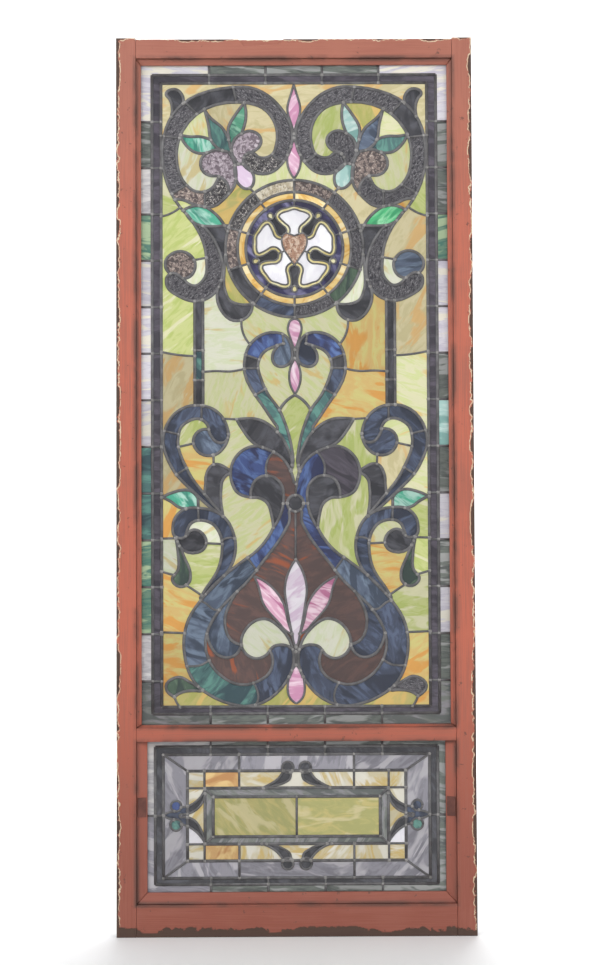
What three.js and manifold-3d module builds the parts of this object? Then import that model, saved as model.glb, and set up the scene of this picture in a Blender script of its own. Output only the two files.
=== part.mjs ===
// Stained glass window: a tall leaded light over a low one in a single painted wooden sash.
// Millimetres, +Z up. The origin is the middle of the sash's underside and the front faces -Y.
// The glass pattern is drawn once, as (out from the middle, up from the underside), and mirrored.
import * as THREE from 'three';
import { mergeVertices } from 'three/addons/utils/BufferGeometryUtils.js';
import Module from 'manifold-3d';

const wasm = await Module();
wasm.setup();

// Driving sizes of the sash
const SASH_WIDTH = 820;
const SASH_HEIGHT = 2060;
const SASH_DEPTH = 44;
const STILE_FACE = 45;
const TOP_RAIL_FACE = 44;
const MIDDLE_RAIL_FACE = 31;
const MIDDLE_RAIL_BOTTOM = 442;
const BOTTOM_RAIL_FACE = 73;
const STILE_HORN = 3;
const FIT = 0.3;

// Rebates behind the glass, and the tenons that join the rails to the stiles
const LIP_WIDTH = 12;
const LIP_THICKNESS = 15;
const TENON_LENGTH = 30;
const TENON_THICKNESS = 14;
const TENON_SHOULDER = 8;
const GROOVE_DEPTH = 8;
const PANEL_CLEARANCE = 1;

// Lead cames and glass
const CAME_WIDTH = 6.4;
const FINE_CAME_WIDTH = 4.4;
const FLANGE = 1.5;
const HEART = 1.2;
const GLASS_THICKNESS = 3;
const CURVE_TOLERANCE = 6;
const JEWEL_TOLERANCE = 2;
const CURVE_STEPS = 8;
const CIRCLE_TOLERANCE = 3;
const FEWEST_SIDES = 8;
const MITRE_LIMIT = 1.6;

// Glazing beads: how far each covers the panel, and how thick it is at either edge
const UPPER_SIDE_BEAD = 11;
const UPPER_TOP_BEAD = 12.5;
const UPPER_BOTTOM_BEAD = 5.5;
const LOWER_SIDE_BEAD = 24;
const LOWER_BOTTOM_BEAD = 25;
const BEAD_OUTER_THICKNESS = 14;
const BEAD_INNER_THICKNESS = 6;

// Metal repair plates on the lower side beads
const PLATE_WIDTH = 20;
const PLATE_HEIGHT = 44;
const PLATE_THICKNESS = 1.5;
const PLATE_MIDDLE_HEIGHT = 292;

const MITRE_GAP = 0.5;

// How far a cut or a joined form runs past the face that it meets
const OVERLAP = 1;

// The splinter that is missing from the front of the top rail
const SPLINTER = { left: -128, right: -22, slope: 14, height: 17, heightRight: 12, depth: 6 };

// Derived places
const halfWidth = SASH_WIDTH / 2;
const front = -SASH_DEPTH / 2;
const back = SASH_DEPTH / 2;
const opening = halfWidth - STILE_FACE;
const lipFront = back - LIP_THICKNESS;
const cameBack = lipFront - FIT;
const cameFront = cameBack - 2 * FLANGE - GLASS_THICKNESS - 2 * FIT;
const glassBack = cameBack - FLANGE - FIT;
const beadBack = cameFront - FIT;
const GLASS_INSET = HEART / 2 + FIT;
const middleRailTop = MIDDLE_RAIL_BOTTOM + MIDDLE_RAIL_FACE;
const topRailTop = SASH_HEIGHT - STILE_HORN;
const topRailBottom = topRailTop - TOP_RAIL_FACE;

const upperPanel = {
  half: opening - PANEL_CLEARANCE,
  bottom: middleRailTop + FIT,
  top: topRailBottom - PANEL_CLEARANCE,
};
const lowerPanel = {
  half: opening - PANEL_CLEARANCE,
  bottom: BOTTOM_RAIL_FACE + FIT,
  top: MIDDLE_RAIL_BOTTOM + GROOVE_DEPTH - PANEL_CLEARANCE,
};

// Border lines of the upper panel, as distances from its edges
const UPPER_BORDER = {
  outer: { side: 35, bottom: 29.7, top: 32.5 },
  inner: { side: 56, bottom: 45.7, top: 51.5 },
};

// Border lines of the lower panel from the outside in, as distances from its edges
const LOWER_BORDER = {
  strip: { side: 40.5, bottom: 41.2, top: 21 },
  band: { side: 59, bottom: 55.7, top: 39 },
  tiles: { side: 114, bottom: 94.7, top: 76.5 },
  frame: { side: 154, bottom: 132.7, top: 115.5 },
  light: { side: 173, bottom: 149.7, top: 135.5 },
};

const inside = (panel, { side, bottom, top }) => ({
  half: panel.half - side, bottom: panel.bottom + bottom, top: panel.top - top,
});
const BORDER_OUTER = inside(upperPanel, UPPER_BORDER.outer);
const BORDER_INNER = inside(upperPanel, UPPER_BORDER.inner);
const LOWER_LINES = Object.fromEntries(
  Object.entries(LOWER_BORDER).map(([name, line]) => [name, inside(lowerPanel, line)]),
);

// Cross leads, the rose, the roundel and the bars, as drawn. The rose hangs from the top border line.
const SIDE_CROSS = { first: 578, pitch: 107.7, count: 13 };
const TOP_CROSS_PITCH = 131;
const ROSE = { drop: 385.5, rim: 159.5, gold: 131.5, inner: 112.5, segments: 10, petals: 5 };
const ROUNDEL = { up: 985, radius: 19 };
const BAR = { inner: 212, outer: 231, bottom: 1209, top: 1457, cut: 1339 };
const BAR_MARGIN = 4;
const TILE_CROSS = 131.5;

// Each pattern is drawn between heights on the middle line and a width. It follows the real ones, and
// round things grow by the least of the stretches, so that they stay clear of what surrounds them.
const fitted = (drawn, real) => {
  const wide = real.half / drawn.half;
  const stretches = drawn.heights.slice(1).map(
    (up, i) => (real.heights[i + 1] - real.heights[i]) / (up - drawn.heights[i]),
  );
  return {
    grow: Math.min(wide, ...stretches),
    place: ([out, up]) => {
      const i = stretches.length > 1 && up > drawn.heights[1] ? 1 : 0;
      return [out * wide, real.heights[i] + (up - drawn.heights[i]) * stretches[i]];
    },
  };
};
const roseHeight = BORDER_INNER.top - ROSE.drop;
const upper = fitted(
  { half: 308, heights: [519, 1575, 1960.5] },
  { half: BORDER_INNER.half, heights: [BORDER_INNER.bottom, roseHeight, BORDER_INNER.top] },
);
const lower = fitted(
  { half: 305, heights: [129, 410] },
  { half: LOWER_LINES.band.half, heights: [LOWER_LINES.band.bottom, LOWER_LINES.band.top] },
);

// Leads of the upper panel, each a fair curve through a few points of its left half
const upperCurves = [
  // The top scroll, its curl, its two commas, its leaves and its drop
  [[117, 1772], [62, 1749], [22, 1780], [4, 1842], [30, 1902], [100, 1950], [145, 1951], [280, 1889],
    [305, 1784], [266, 1674], [243, 1648], [204, 1556], [212, 1501], [229, 1489], [258, 1506], [287, 1517],
    [296, 1507]],
  [[117, 1788], [94, 1797], [82, 1788], [50, 1795], [41, 1817], [63, 1895], [131, 1916], [258, 1850],
    [272, 1785], [251, 1725], [227, 1708], [188, 1718], [178, 1734], [174, 1743]],
  [[130, 1775], [138, 1829], [121, 1843], [101, 1849], [76, 1827], [92, 1802], [106, 1798], [119, 1775]],
  [[202, 1798], [209, 1753], [195, 1745], [174, 1743], [151, 1703], [135, 1760], [152, 1800]],
  [[256, 1688], [240, 1681], [180, 1676], [165, 1688], [151, 1703]],
  [[207, 1899], [197, 1884], [162, 1851], [147, 1803]],
  [[207, 1899], [199, 1868], [188, 1820], [166, 1803]],
  [[263, 1840], [242, 1836], [218, 1836], [192, 1828]],
  [[263, 1840], [248, 1814], [228, 1799], [202, 1798], [166, 1803], [152, 1800]],
  [[136, 1768], [130, 1727], [104, 1715], [93, 1740], [104, 1759]],
  [[285, 1883], [288, 1924], [296, 1935], [278, 1947], [258, 1931], [257, 1914]],
  // The leaf and the tail under it, which ends in a curl round a ball
  [[257, 1664], [207, 1672], [184, 1657], [155, 1620]],
  [[250, 1656], [221, 1630], [200, 1627], [155, 1630]],
  [[212, 1628], [183, 1590], [167, 1512], [173, 1489], [222, 1453], [266, 1464], [296, 1492], [296, 1507]],
  [[287, 1517], [298, 1547], [287, 1561], [232, 1523], [258, 1506]],
  [[167, 1500], [174, 1440], [133, 1407], [106, 1420], [103, 1447]],
  // The heart of scrolls and the fan that it closes on
  [[36, 1155], [66, 1198], [117, 1306], [102, 1354], [46, 1380], [28, 1376], [7, 1343], [15, 1306],
    [45, 1305], [50, 1333], [40, 1348]],
  [[26, 1352], [66, 1339], [85, 1308], [78, 1272], [36, 1200], [27, 1180], [4, 1062]],
  [[0, 1235], [17, 1224], [39, 1196]],
  // The dark leaf, the big lobe and the commas beside the stem
  [[135, 1179], [112, 1181], [90, 1180], [55, 1163], [14, 1104], [6, 1062]],
  [[135, 1179], [122, 1157], [95, 1124], [75, 1114]],
  [[51, 929], [54, 952], [69, 990], [103, 999], [136, 1013], [145, 1030], [127, 1103], [95, 1117],
    [60, 1108], [32, 1091], [10, 1058], [4, 1030]],
  [[103, 999], [101, 1020], [93, 1037], [29, 1020], [27, 1000], [51, 929]],
  // The side scroll, its ball and the comma beside it
  [[162, 1127], [156, 1134], [157, 1162], [252, 1208], [304, 1140], [286, 1071], [228, 1006], [186, 969],
    [166, 957]],
  [[162, 1127], [175, 1125], [197, 1147], [214, 1178], [250, 1173], [269, 1143], [246, 1058], [194, 989],
    [166, 957]],
  [[200, 1156], [235, 1131], [231, 1114], [184, 1098], [169, 1109], [154, 1145]],
  [[210, 1007], [207, 1030], [206, 1048], [188, 1075], [161, 1068], [150, 1057]],
  [[150, 1057], [160, 1049], [168, 1038], [171, 1020], [166, 957]],
  // The green leaf, the small scroll, its ball and the drop that hangs from it
  [[306, 1000], [288, 1009], [234, 1010], [224, 997], [224, 974]],
  [[306, 1000], [285, 989], [270, 978], [252, 973]],
  [[247, 918], [275, 908], [282, 936], [262, 969], [220, 975], [155, 943], [146, 925], [157, 828],
    [171, 813], [207, 777]],
  [[253, 911], [243, 937], [202, 944], [170, 902], [177, 838], [211, 783], [221, 766]],
  [[247, 918], [235, 925], [220, 921], [211, 881], [225, 873], [280, 906]],
  [[276, 896], [270, 868], [271, 832], [284, 811], [279, 801], [244, 806], [242, 820], [257, 864],
    [273, 890]],
  // The vase: its ribbon, the ball at its mouth and the comma inside it
  [[51, 929], [99, 868], [118, 855], [207, 777], [251, 708], [257, 646], [223, 564], [140, 523],
    [114, 520], [20, 580], [10, 600], [37, 700], [73, 720], [107, 706], [117, 642], [86, 629], [71, 635],
    [50, 657], [24, 659], [9, 648]],
  [[16, 967], [14, 945], [24, 923], [84, 840], [153, 765], [173, 744], [207, 649], [178, 595], [117, 569],
    [82, 580], [67, 590], [60, 647]],
  // The lily between the vases
  [[0, 856], [25, 793], [20, 744], [9, 685], [0, 655]],
  [[96, 818], [29, 757], [18, 712], [9, 685]],
  [[96, 818], [87, 797], [75, 755], [37, 708], [10, 685]],
];

// Jewels down the middle: the right half of each outline, from its top to its bottom
const jewels = {
  jewel_top: [[0, 1957], [6, 1937], [15, 1900], [4, 1858], [0, 1842]],
  jewel_over_rose: [[0, 1832], [4, 1820], [16, 1783], [0, 1738]],
  jewel_under_rose: [[0, 1411], [9, 1408], [15, 1396], [9, 1363], [0, 1340]],
  jewel_in_heart: [[0, 1320], [13, 1271], [0, 1237]],
  jewel_bottom: [[0, 614], [18, 579], [8, 531], [0, 526]],
};

// Straight and slightly bent leads of the upper panel that part one colour of ground from the next
const upperStraights = [
  [[135, 1179], [164, 1181]],
  [[0, 1842], [0, 1832]],
  [[0, 655], [0, 614]],
];

// Where the leads over and under the roundel meet the pattern
const STEM = { over: [0, 1090], under: [0, 856] };

// Rose: one petal and one half of the heart at its middle, as (outward, aside) of their own axes
const petal = [[98, 0], [93, 20], [84, 40], [75, 42], [48, 20], [30, 17]];
const roseHeart = [[0, 29], [10, 33], [21, 35], [29, 22], [25, 0], [5, -31], [0, -39]];

// Ornaments in the lower panel's band: horns and a ball at each side and over the middle
const lowerCurves = [
  [[211, 331], [227, 306], [262, 290]],
  [[211, 208], [232, 236], [262, 252]],
  [[76, 334], [28, 345], [15, 355], [22, 368]],
  [[80, 205], [28, 193], [16, 184], [22, 172]],
];
// A ball sits at the end of each horn, its middle that far out and up from it
const lowerBalls = [
  { horn: 0, out: 14, up: 3, radius: 12 },
  { horn: 1, out: 14, up: -2, radius: 13 },
  { horn: 2, out: -2, up: 12, radius: 13 },
  { horn: 3, out: -1, up: -11, radius: 13 },
];

// Materials
const finish = (color, roughness, metalness = 0) =>
  new THREE.MeshStandardMaterial({ color, roughness, metalness });
const paint = () => finish(0xa9614a, 0.6);
const weatheredPaint = () => finish(0x8f6250, 0.75);
const lead = () => finish(0x77757a, 0.55, 0.6);
const steel = () => finish(0x5d5a58, 0.5, 0.8);
const glass = (color) => finish(color, 0.2);

// Solids from three.js geometry, and back again
function toSolid(geometry) {
  const bare = geometry.clone();
  bare.deleteAttribute('normal');
  bare.deleteAttribute('uv');
  const merged = mergeVertices(bare, 1e-4);
  return new wasm.Manifold(new wasm.Mesh({
    numProp: 3,
    vertProperties: new Float32Array(merged.attributes.position.array),
    triVerts: new Uint32Array(merged.index.array),
  }));
}

function toGeometry(solid) {
  const mesh = solid.getMesh();
  const geometry = new THREE.BufferGeometry();
  geometry.setAttribute('position', new THREE.BufferAttribute(new Float32Array(mesh.vertProperties), 3));
  geometry.setIndex(new THREE.BufferAttribute(new Uint32Array(mesh.triVerts), 1));
  return geometry;
}

// Joins a list of solids pair by pair, so that no join is much bigger than it has to be
function join(solids) {
  let rest = [...solids];
  while (rest.length > 1) {
    const next = [];
    for (let i = 0; i < rest.length; i += 2) {
      next.push(i + 1 < rest.length ? rest[i].add(rest[i + 1]) : rest[i]);
    }
    rest = next;
  }
  return rest[0];
}

// A box from its lowest and highest corners
function box(x0, y0, z0, x1, y1, z1) {
  const geometry = new THREE.BoxGeometry(x1 - x0, y1 - y0, z1 - z0);
  geometry.translate((x0 + x1) / 2, (y0 + y1) / 2, (z0 + z1) / 2);
  return toSolid(geometry);
}

// A flat shape drawn in (x, z), extruded from yFront back to yBack
function plate(shape, yFront, yBack) {
  const geometry = new THREE.ExtrudeGeometry(shape, {
    depth: yBack - yFront, bevelEnabled: false, curveSegments: 1,
  });
  geometry.rotateX(Math.PI / 2);
  geometry.translate(0, yBack, 0);
  return toSolid(geometry);
}

const vectors = (points) => points.map(([x, z]) => new THREE.Vector2(x, z));
const mirrorOut = (points) => points.map((point) => new THREE.Vector2(-point.x, point.y));

// The corners of a rectangle that stands on the middle, moved out by a distance
const rectangle = ({ half, bottom, top }, grow = 0) => vectors([
  [-half - grow, bottom - grow], [half + grow, bottom - grow],
  [half + grow, top + grow], [-half - grow, top + grow],
]);

function withHoles(outer, holes) {
  const shape = new THREE.Shape(outer);
  for (const hole of holes) shape.holes.push(new THREE.Path([...hole].reverse()));
  return shape;
}

// A circle with as many sides as keep it within a tolerance of the round, set by its own radius
function circle({ out, up, radius }, grow = 0) {
  const sides = Math.max(FEWEST_SIDES, Math.round(Math.PI / Math.acos(1 - CIRCLE_TOLERANCE / radius)));
  return vectors(Array.from({ length: sides }, (_, i) => {
    const angle = (2 * Math.PI * i) / sides;
    return [out + (radius + grow) * Math.cos(angle), up + (radius + grow) * Math.sin(angle)];
  }));
}

// A fair curve: each stretch is a cubic whose handles are those of the arc with the same turn,
// and the tangent at a point is that of the circle through it and its two neighbours
function fairCurve(points, tolerance = CURVE_TOLERANCE) {
  const p = vectors(points);
  const last = p.length - 1;
  if (last === 1) return p;
  const tangent = p.map((point, i) => {
    if (i === 0 || i === last) return null;
    const before = point.clone().sub(p[i - 1]);
    const after = p[i + 1].clone().sub(point);
    return before.clone().multiplyScalar(after.length() / before.length())
      .addScaledVector(after, before.length() / after.length()).normalize();
  });
  const mirrored = (chord, next) => {
    const along = chord.clone().normalize();
    return along.multiplyScalar(2 * along.dot(next)).sub(next);
  };
  tangent[0] = mirrored(p[1].clone().sub(p[0]), tangent[1]);
  tangent[last] = mirrored(p[last].clone().sub(p[last - 1]), tangent[last - 1]);
  const path = new THREE.CurvePath();
  for (let i = 0; i < last; i += 1) {
    const turn = Math.acos(THREE.MathUtils.clamp(tangent[i].dot(tangent[i + 1]), -1, 1));
    const handle = p[i].distanceTo(p[i + 1]) / (3 * Math.cos(turn / 4) ** 2);
    path.add(new THREE.CubicBezierCurve(
      p[i], p[i].clone().addScaledVector(tangent[i], handle),
      p[i + 1].clone().addScaledVector(tangent[i + 1], -handle), p[i + 1],
    ));
  }
  return thin(path.getPoints(CURVE_STEPS), tolerance);
}

// Keeps only the points that hold a line within a tolerance of its fine form
function thin(points, tolerance) {
  const first = points[0];
  const last = points[points.length - 1];
  const chord = last.clone().sub(first);
  let farthest = 0;
  let split = 0;
  for (let i = 1; i < points.length - 1; i += 1) {
    const offset = points[i].clone().sub(first);
    const closed = chord.length() < tolerance;
    const away = closed ? offset.length() : Math.abs(offset.cross(chord)) / chord.length();
    if (away > farthest) {
      farthest = away;
      split = i;
    }
  }
  if (farthest <= tolerance) return [first, last];
  const beginning = thin(points.slice(0, split + 1), tolerance);
  return [...beginning, ...thin(points.slice(split), tolerance).slice(1)];
}

// The two edges of a strip of a given width along a line, with mitred corners
function stripEdges(points, width, closed) {
  const count = points.length;
  const edge = (side) => points.map((point, i) => {
    const previous = closed ? points[(i + count - 1) % count] : points[Math.max(i - 1, 0)];
    const next = closed ? points[(i + 1) % count] : points[Math.min(i + 1, count - 1)];
    const before = point.clone().sub(previous).normalize();
    const after = next.clone().sub(point).normalize();
    if (!closed && i === 0) before.copy(after);
    if (!closed && i === count - 1) after.copy(before);
    const along = before.clone().add(after).normalize();
    const stretch = Math.min(1 / along.dot(after), MITRE_LIMIT);
    const across = new THREE.Vector2(-along.y, along.x);
    return point.clone().addScaledVector(across, side * stretch * width / 2);
  });
  return [edge(1), edge(-1)];
}

function strip(points, width) {
  const [one, other] = stripEdges(points, width, false);
  return new THREE.Shape([...one, ...other.reverse()]);
}

// A closed strip; its line runs anticlockwise, so that the left edge is the inner one
function loop(points, width) {
  const [inner, outer] = stripEdges(points, width, true);
  return withHoles(outer, [inner]);
}

// A closed outline moved out by a distance, or in by a negative one; it runs clockwise
const moved = (points, by) => stripEdges(points, 2 * Math.abs(by), true)[by > 0 ? 0 : 1];

// Lead: strips thicker than a flange, trimmed to it in one cut so that the lattice is one flat face
const blank = (shape) => plate(shape, cameFront - FLANGE, cameFront + 2 * FLANGE);

function bothSides(points, width = CAME_WIDTH) {
  const blanks = [blank(strip(points, width))];
  const onMiddle = points.every((point) => Math.abs(point.x) < CAME_WIDTH / 2);
  if (!onMiddle) blanks.push(blank(strip(mirrorOut(points).reverse(), width)));
  return blanks;
}

const straight = (points, width) => bothSides(vectors(points), width);

// The front flange of a whole panel, from the blanks of its leads
function frontLattice(panel, blanks) {
  return plate(withHoles(rectangle(panel), []), cameFront, cameFront + FLANGE).intersect(join(blanks));
}

// What a came has behind its front flange: the heart between two glasses, and the back flange
function heartAndBack(outer, inner, outerFlange, innerFlange) {
  return [
    plate(withHoles(outer, [inner]), cameFront, cameBack),
    plate(withHoles(outerFlange, [innerFlange]), cameBack - FLANGE, cameBack),
  ];
}

function borderCame(line) {
  const half = CAME_WIDTH / 2;
  return heartAndBack(
    rectangle(line, HEART / 2), rectangle(line, -HEART / 2), rectangle(line, half), rectangle(line, -half),
  );
}

// The came round the edge of a panel is a channel, with its heart at the very edge
function edgeCame(panel) {
  const edge = rectangle(panel);
  return heartAndBack(edge, rectangle(panel, -HEART), edge, rectangle(panel, -CAME_WIDTH));
}

// Cross leads from the edge of a panel to the inner side of its border, over its top and its bottom
function topAndBottomCross(panel, inner) {
  return [0.5, 1.5].flatMap((share) => {
    const out = share * TOP_CROSS_PITCH;
    return [
      ...straight([[out, panel.top - HEART], [out, inner.top]]),
      ...straight([[out, panel.bottom + HEART], [out, inner.bottom]]),
    ];
  });
}

// A point of the rose, given along and across an arm at an angle
function onRose(angle, [outward, aside]) {
  const point = new THREE.Vector2(outward, aside).rotateAround(new THREE.Vector2(), angle);
  return point.multiplyScalar(upper.grow).add(new THREE.Vector2(0, roseHeight));
}

const roseCircle = (radius) => ({ out: 0, up: roseHeight, radius: radius * upper.grow });
const roundel = {
  out: 0, up: upper.place([0, ROUNDEL.up])[1], radius: ROUNDEL.radius * upper.grow,
};
const roseArm = (i, arms) => Math.PI / 2 + (2 * Math.PI * i) / arms;

function roseLeads() {
  const blanks = [ROSE.rim, ROSE.gold, ROSE.inner].map(
    (radius) => blank(loop(circle(roseCircle(radius)), CAME_WIDTH)),
  );
  for (let i = 0; i < ROSE.segments; i += 1) {
    const arm = roseArm(i, ROSE.segments);
    blanks.push(blank(strip([onRose(arm, [ROSE.inner, 0]), onRose(arm, [ROSE.rim, 0])], FINE_CAME_WIDTH)));
  }
  for (let i = 0; i < ROSE.petals; i += 1) {
    const arm = roseArm(i, ROSE.petals);
    for (const side of [-1, 1]) {
      const edge = petal.map(([outward, aside]) => onRose(arm, [outward, side * aside]));
      blanks.push(blank(strip(edge, FINE_CAME_WIDTH)));
    }
    blanks.push(blank(strip([onRose(arm, petal[0]), onRose(arm, [ROSE.inner, 0])], FINE_CAME_WIDTH)));
  }
  blanks.push(...bothSides(roseHeart.map(([out, up]) => onRose(0, [out, up]))));
  // Short leads hold the rose between the jewels over and under it
  const rim = ROSE.rim * upper.grow;
  blanks.push(...straight([[0, roseHeight + rim], upper.place(jewels.jewel_over_rose.at(-1))]));
  blanks.push(...straight([[0, roseHeight - rim], upper.place(jewels.jewel_under_rose[0])]));
  return blanks;
}

const jewelHalf = (half) => fairCurve(half.map(upper.place), JEWEL_TOLERANCE);

function upperLead() {
  const blanks = [blank(withHoles(rectangle(upperPanel), [rectangle(upperPanel, -CAME_WIDTH)]))];
  for (const line of [BORDER_OUTER, BORDER_INNER]) blanks.push(blank(loop(rectangle(line), CAME_WIDTH)));
  for (let i = 0; i < SIDE_CROSS.count; i += 1) {
    const [, up] = upper.place([0, SIDE_CROSS.first + i * SIDE_CROSS.pitch]);
    blanks.push(...straight([[upperPanel.half - HEART, up], [BORDER_INNER.half, up]]));
  }
  blanks.push(...topAndBottomCross(upperPanel, BORDER_INNER));
  for (const line of [...upperStraights, ...upperCurves]) {
    blanks.push(...bothSides(fairCurve(line.map(upper.place))));
  }
  for (const half of Object.values(jewels)) blanks.push(...bothSides(jewelHalf(half)));
  for (const out of [BAR.inner, BAR.outer]) {
    blanks.push(...straight([[out, BAR.bottom], [out, BAR.top]].map(upper.place)));
  }
  blanks.push(...straight([[BAR.inner, BAR.cut], [BAR.outer, BAR.cut]].map(upper.place)));
  blanks.push(blank(loop(circle(roundel), CAME_WIDTH)));
  for (const [side, meets] of [[1, STEM.over], [-1, STEM.under]]) {
    blanks.push(...straight([[0, roundel.up + side * roundel.radius], upper.place(meets)]));
  }
  blanks.push(...roseLeads());
  return join([
    frontLattice(upperPanel, blanks), ...edgeCame(upperPanel),
    ...borderCame(BORDER_OUTER), ...borderCame(BORDER_INNER),
  ]);
}

function lowerLead() {
  const { strip: outer, band, tiles, frame, light } = LOWER_LINES;
  const blanks = [blank(withHoles(rectangle(lowerPanel), [rectangle(lowerPanel, -CAME_WIDTH)]))];
  for (const line of Object.values(LOWER_LINES)) blanks.push(blank(loop(rectangle(line), CAME_WIDTH)));
  blanks.push(...topAndBottomCross(lowerPanel, band));
  const middle = (band.bottom + band.top) / 2;
  blanks.push(...straight([[lowerPanel.half - HEART, middle], [band.half, middle]]));
  for (const edge of ['top', 'bottom']) {
    blanks.push(...straight([[band.half, band[edge]], [tiles.half, tiles[edge]]]));
    blanks.push(...straight([[frame.half, frame[edge]], [light.half, light[edge]]]));
    blanks.push(...straight([[TILE_CROSS, band[edge]], [TILE_CROSS, frame[edge]]]));
    blanks.push(...straight([[frame.half, tiles[edge]], [frame.half, frame[edge]]]));
    blanks.push(...straight([[tiles.half, frame[edge]], [frame.half, frame[edge]]]));
  }
  blanks.push(...straight([[0, light.top], [0, light.bottom]]));
  for (const line of lowerCurves) {
    blanks.push(...bothSides(fairCurve(line.map(lower.place)), FINE_CAME_WIDTH));
  }
  for (const { horn, out, up, radius } of lowerBalls) {
    const [tipOut, tipUp] = lower.place(lowerCurves[horn].at(-1));
    for (const side of [-1, 1]) {
      const ball = { out: side * (tipOut + out), up: tipUp + up, radius };
      blanks.push(blank(loop(circle(ball), FINE_CAME_WIDTH)));
    }
  }
  return join([
    frontLattice(lowerPanel, blanks), ...edgeCame(lowerPanel),
    ...Object.values(LOWER_LINES).flatMap(borderCame),
  ]);
}

// Glass: fused panes between the leads, each with its edges clear of the hearts
const pane = (outer, holes = []) => plate(withHoles(outer, holes), glassBack - GLASS_THICKNESS, glassBack);

// The line down the middle of the heart of the came round a panel
const edgeLine = ({ half, bottom, top }) => ({
  half: half - HEART / 2, bottom: bottom + HEART / 2, top: top - HEART / 2,
});

const ringPane = (outer, inner) => pane(rectangle(outer, -GLASS_INSET), [rectangle(inner, GLASS_INSET)]);
const roundPane = (outer, ...inner) => pane(
  circle(outer, -GLASS_INSET), inner.map((hole) => circle(hole, GLASS_INSET)),
);

// The whole outline of a jewel, clockwise from its top, from its right half
function jewelOutline(half) {
  const right = jewelHalf(half);
  return [...right, ...mirrorOut(right).reverse().slice(1, -1)];
}

const barLine = (side) => {
  const [near, far] = [side * BAR.inner, side * BAR.outer].sort((a, b) => a - b);
  const [high, low] = [BAR.top - BAR_MARGIN, BAR.bottom + BAR_MARGIN];
  return vectors([[near, high], [far, high], [far, low], [near, low]].map(upper.place));
};

// The ground of the upper panel, open at the rose, the roundel, the bars and the jewels
function fieldGlass() {
  const openings = [
    circle(roseCircle(ROSE.rim), GLASS_INSET),
    circle(roundel, GLASS_INSET),
    ...[-1, 1].map((side) => moved(barLine(side), GLASS_INSET)),
    ...Object.values(jewels).map((half) => moved(jewelOutline(half), GLASS_INSET)),
  ];
  const cuts = openings.map((line) => plate(new THREE.Shape(line), cameFront, cameBack));
  return pane(rectangle(BORDER_INNER, -GLASS_INSET)).subtract(join(cuts));
}

// Sash members
const railSpans = [[0, BOTTOM_RAIL_FACE], [MIDDLE_RAIL_BOTTOM, middleRailTop], [topRailBottom, topRailTop]];

// A stile, with a lip behind each panel and a blind mortise for each rail
function stile(side) {
  const block = (from, to, y0, y1, z0, z1) => {
    const [x0, x1] = [side * from, side * to].sort((a, b) => a - b);
    return box(x0, y0, z0, x1, y1, z1);
  };
  const lips = [
    [BOTTOM_RAIL_FACE + FIT, MIDDLE_RAIL_BOTTOM - FIT],
    [middleRailTop + FIT, topRailBottom - FIT],
  ].map(([z0, z1]) => block(opening - LIP_WIDTH, opening + LIP_WIDTH, lipFront, back, z0, z1));
  const cheek = TENON_THICKNESS / 2 + FIT;
  const mortises = railSpans.map(([z0, z1]) => block(
    opening - OVERLAP, opening + TENON_LENGTH + FIT, -cheek, cheek,
    z0 + TENON_SHOULDER - FIT, z1 - TENON_SHOULDER + FIT,
  ));
  return join([block(opening, halfWidth, front, back, 0, SASH_HEIGHT), ...lips]).subtract(join(mortises));
}

// A rail between the stiles, with its two tenons in one run
function rail([z0, z1]) {
  const reach = opening - FIT;
  const tenons = opening + TENON_LENGTH;
  const body = box(-reach, front, z0, reach, back, z1);
  return body.add(box(
    -tenons, -TENON_THICKNESS / 2, z0 + TENON_SHOULDER, tenons, TENON_THICKNESS / 2, z1 - TENON_SHOULDER,
  ));
}

function railLip(z0, z1) {
  const reach = opening - LIP_WIDTH - FIT;
  return box(-reach, lipFront, z0, reach, back, z1);
}

const bottomRail = () => rail(railSpans[0]).add(
  railLip(BOTTOM_RAIL_FACE - OVERLAP, BOTTOM_RAIL_FACE + LIP_WIDTH),
);

// The middle rail takes the top of the lower panel in a groove
function middleRail() {
  const groove = box(
    -opening, beadBack, MIDDLE_RAIL_BOTTOM - OVERLAP, opening, lipFront, MIDDLE_RAIL_BOTTOM + GROOVE_DEPTH,
  );
  const lip = railLip(middleRailTop - OVERLAP, middleRailTop + LIP_WIDTH);
  return rail(railSpans[1]).add(lip).subtract(groove);
}

// The top rail has lost a long splinter from its upper front edge
function topRail() {
  const loss = new THREE.Shape(vectors([
    [SPLINTER.left, topRailTop + OVERLAP], [SPLINTER.left + SPLINTER.slope, topRailTop - SPLINTER.height],
    [SPLINTER.right - SPLINTER.slope, topRailTop - SPLINTER.heightRight],
    [SPLINTER.right, topRailTop + OVERLAP],
  ]).reverse());
  return rail(railSpans[2]).add(railLip(topRailBottom - LIP_WIDTH, topRailBottom + OVERLAP))
    .subtract(plate(loss, front - OVERLAP, front + SPLINTER.depth));
}

// A bead along one side of an opening, thick at the sash and thin at the glass. Each end is given
// by its corner at the sash and its corner at the glass.
function bead(ends) {
  const thick = beadBack - BEAD_OUTER_THICKNESS;
  const slim = beadBack - BEAD_INNER_THICKNESS;
  const corners = ends.flatMap(([[outX, outZ], [inX, inZ]]) => [
    [outX, beadBack, outZ], [outX, thick, outZ], [inX, slim, inZ], [inX, beadBack, inZ],
  ]);
  const faces = [[0, 1, 2], [0, 2, 3], [4, 6, 5], [4, 7, 6]];
  for (let i = 0; i < 4; i += 1) {
    const j = (i + 1) % 4;
    faces.push([i, j + 4, j], [i, i + 4, j + 4]);
  }
  const geometry = new THREE.BufferGeometry();
  geometry.setAttribute('position', new THREE.Float32BufferAttribute(corners.flat(), 3));
  geometry.setIndex(faces.flat());
  return geometry;
}

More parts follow.
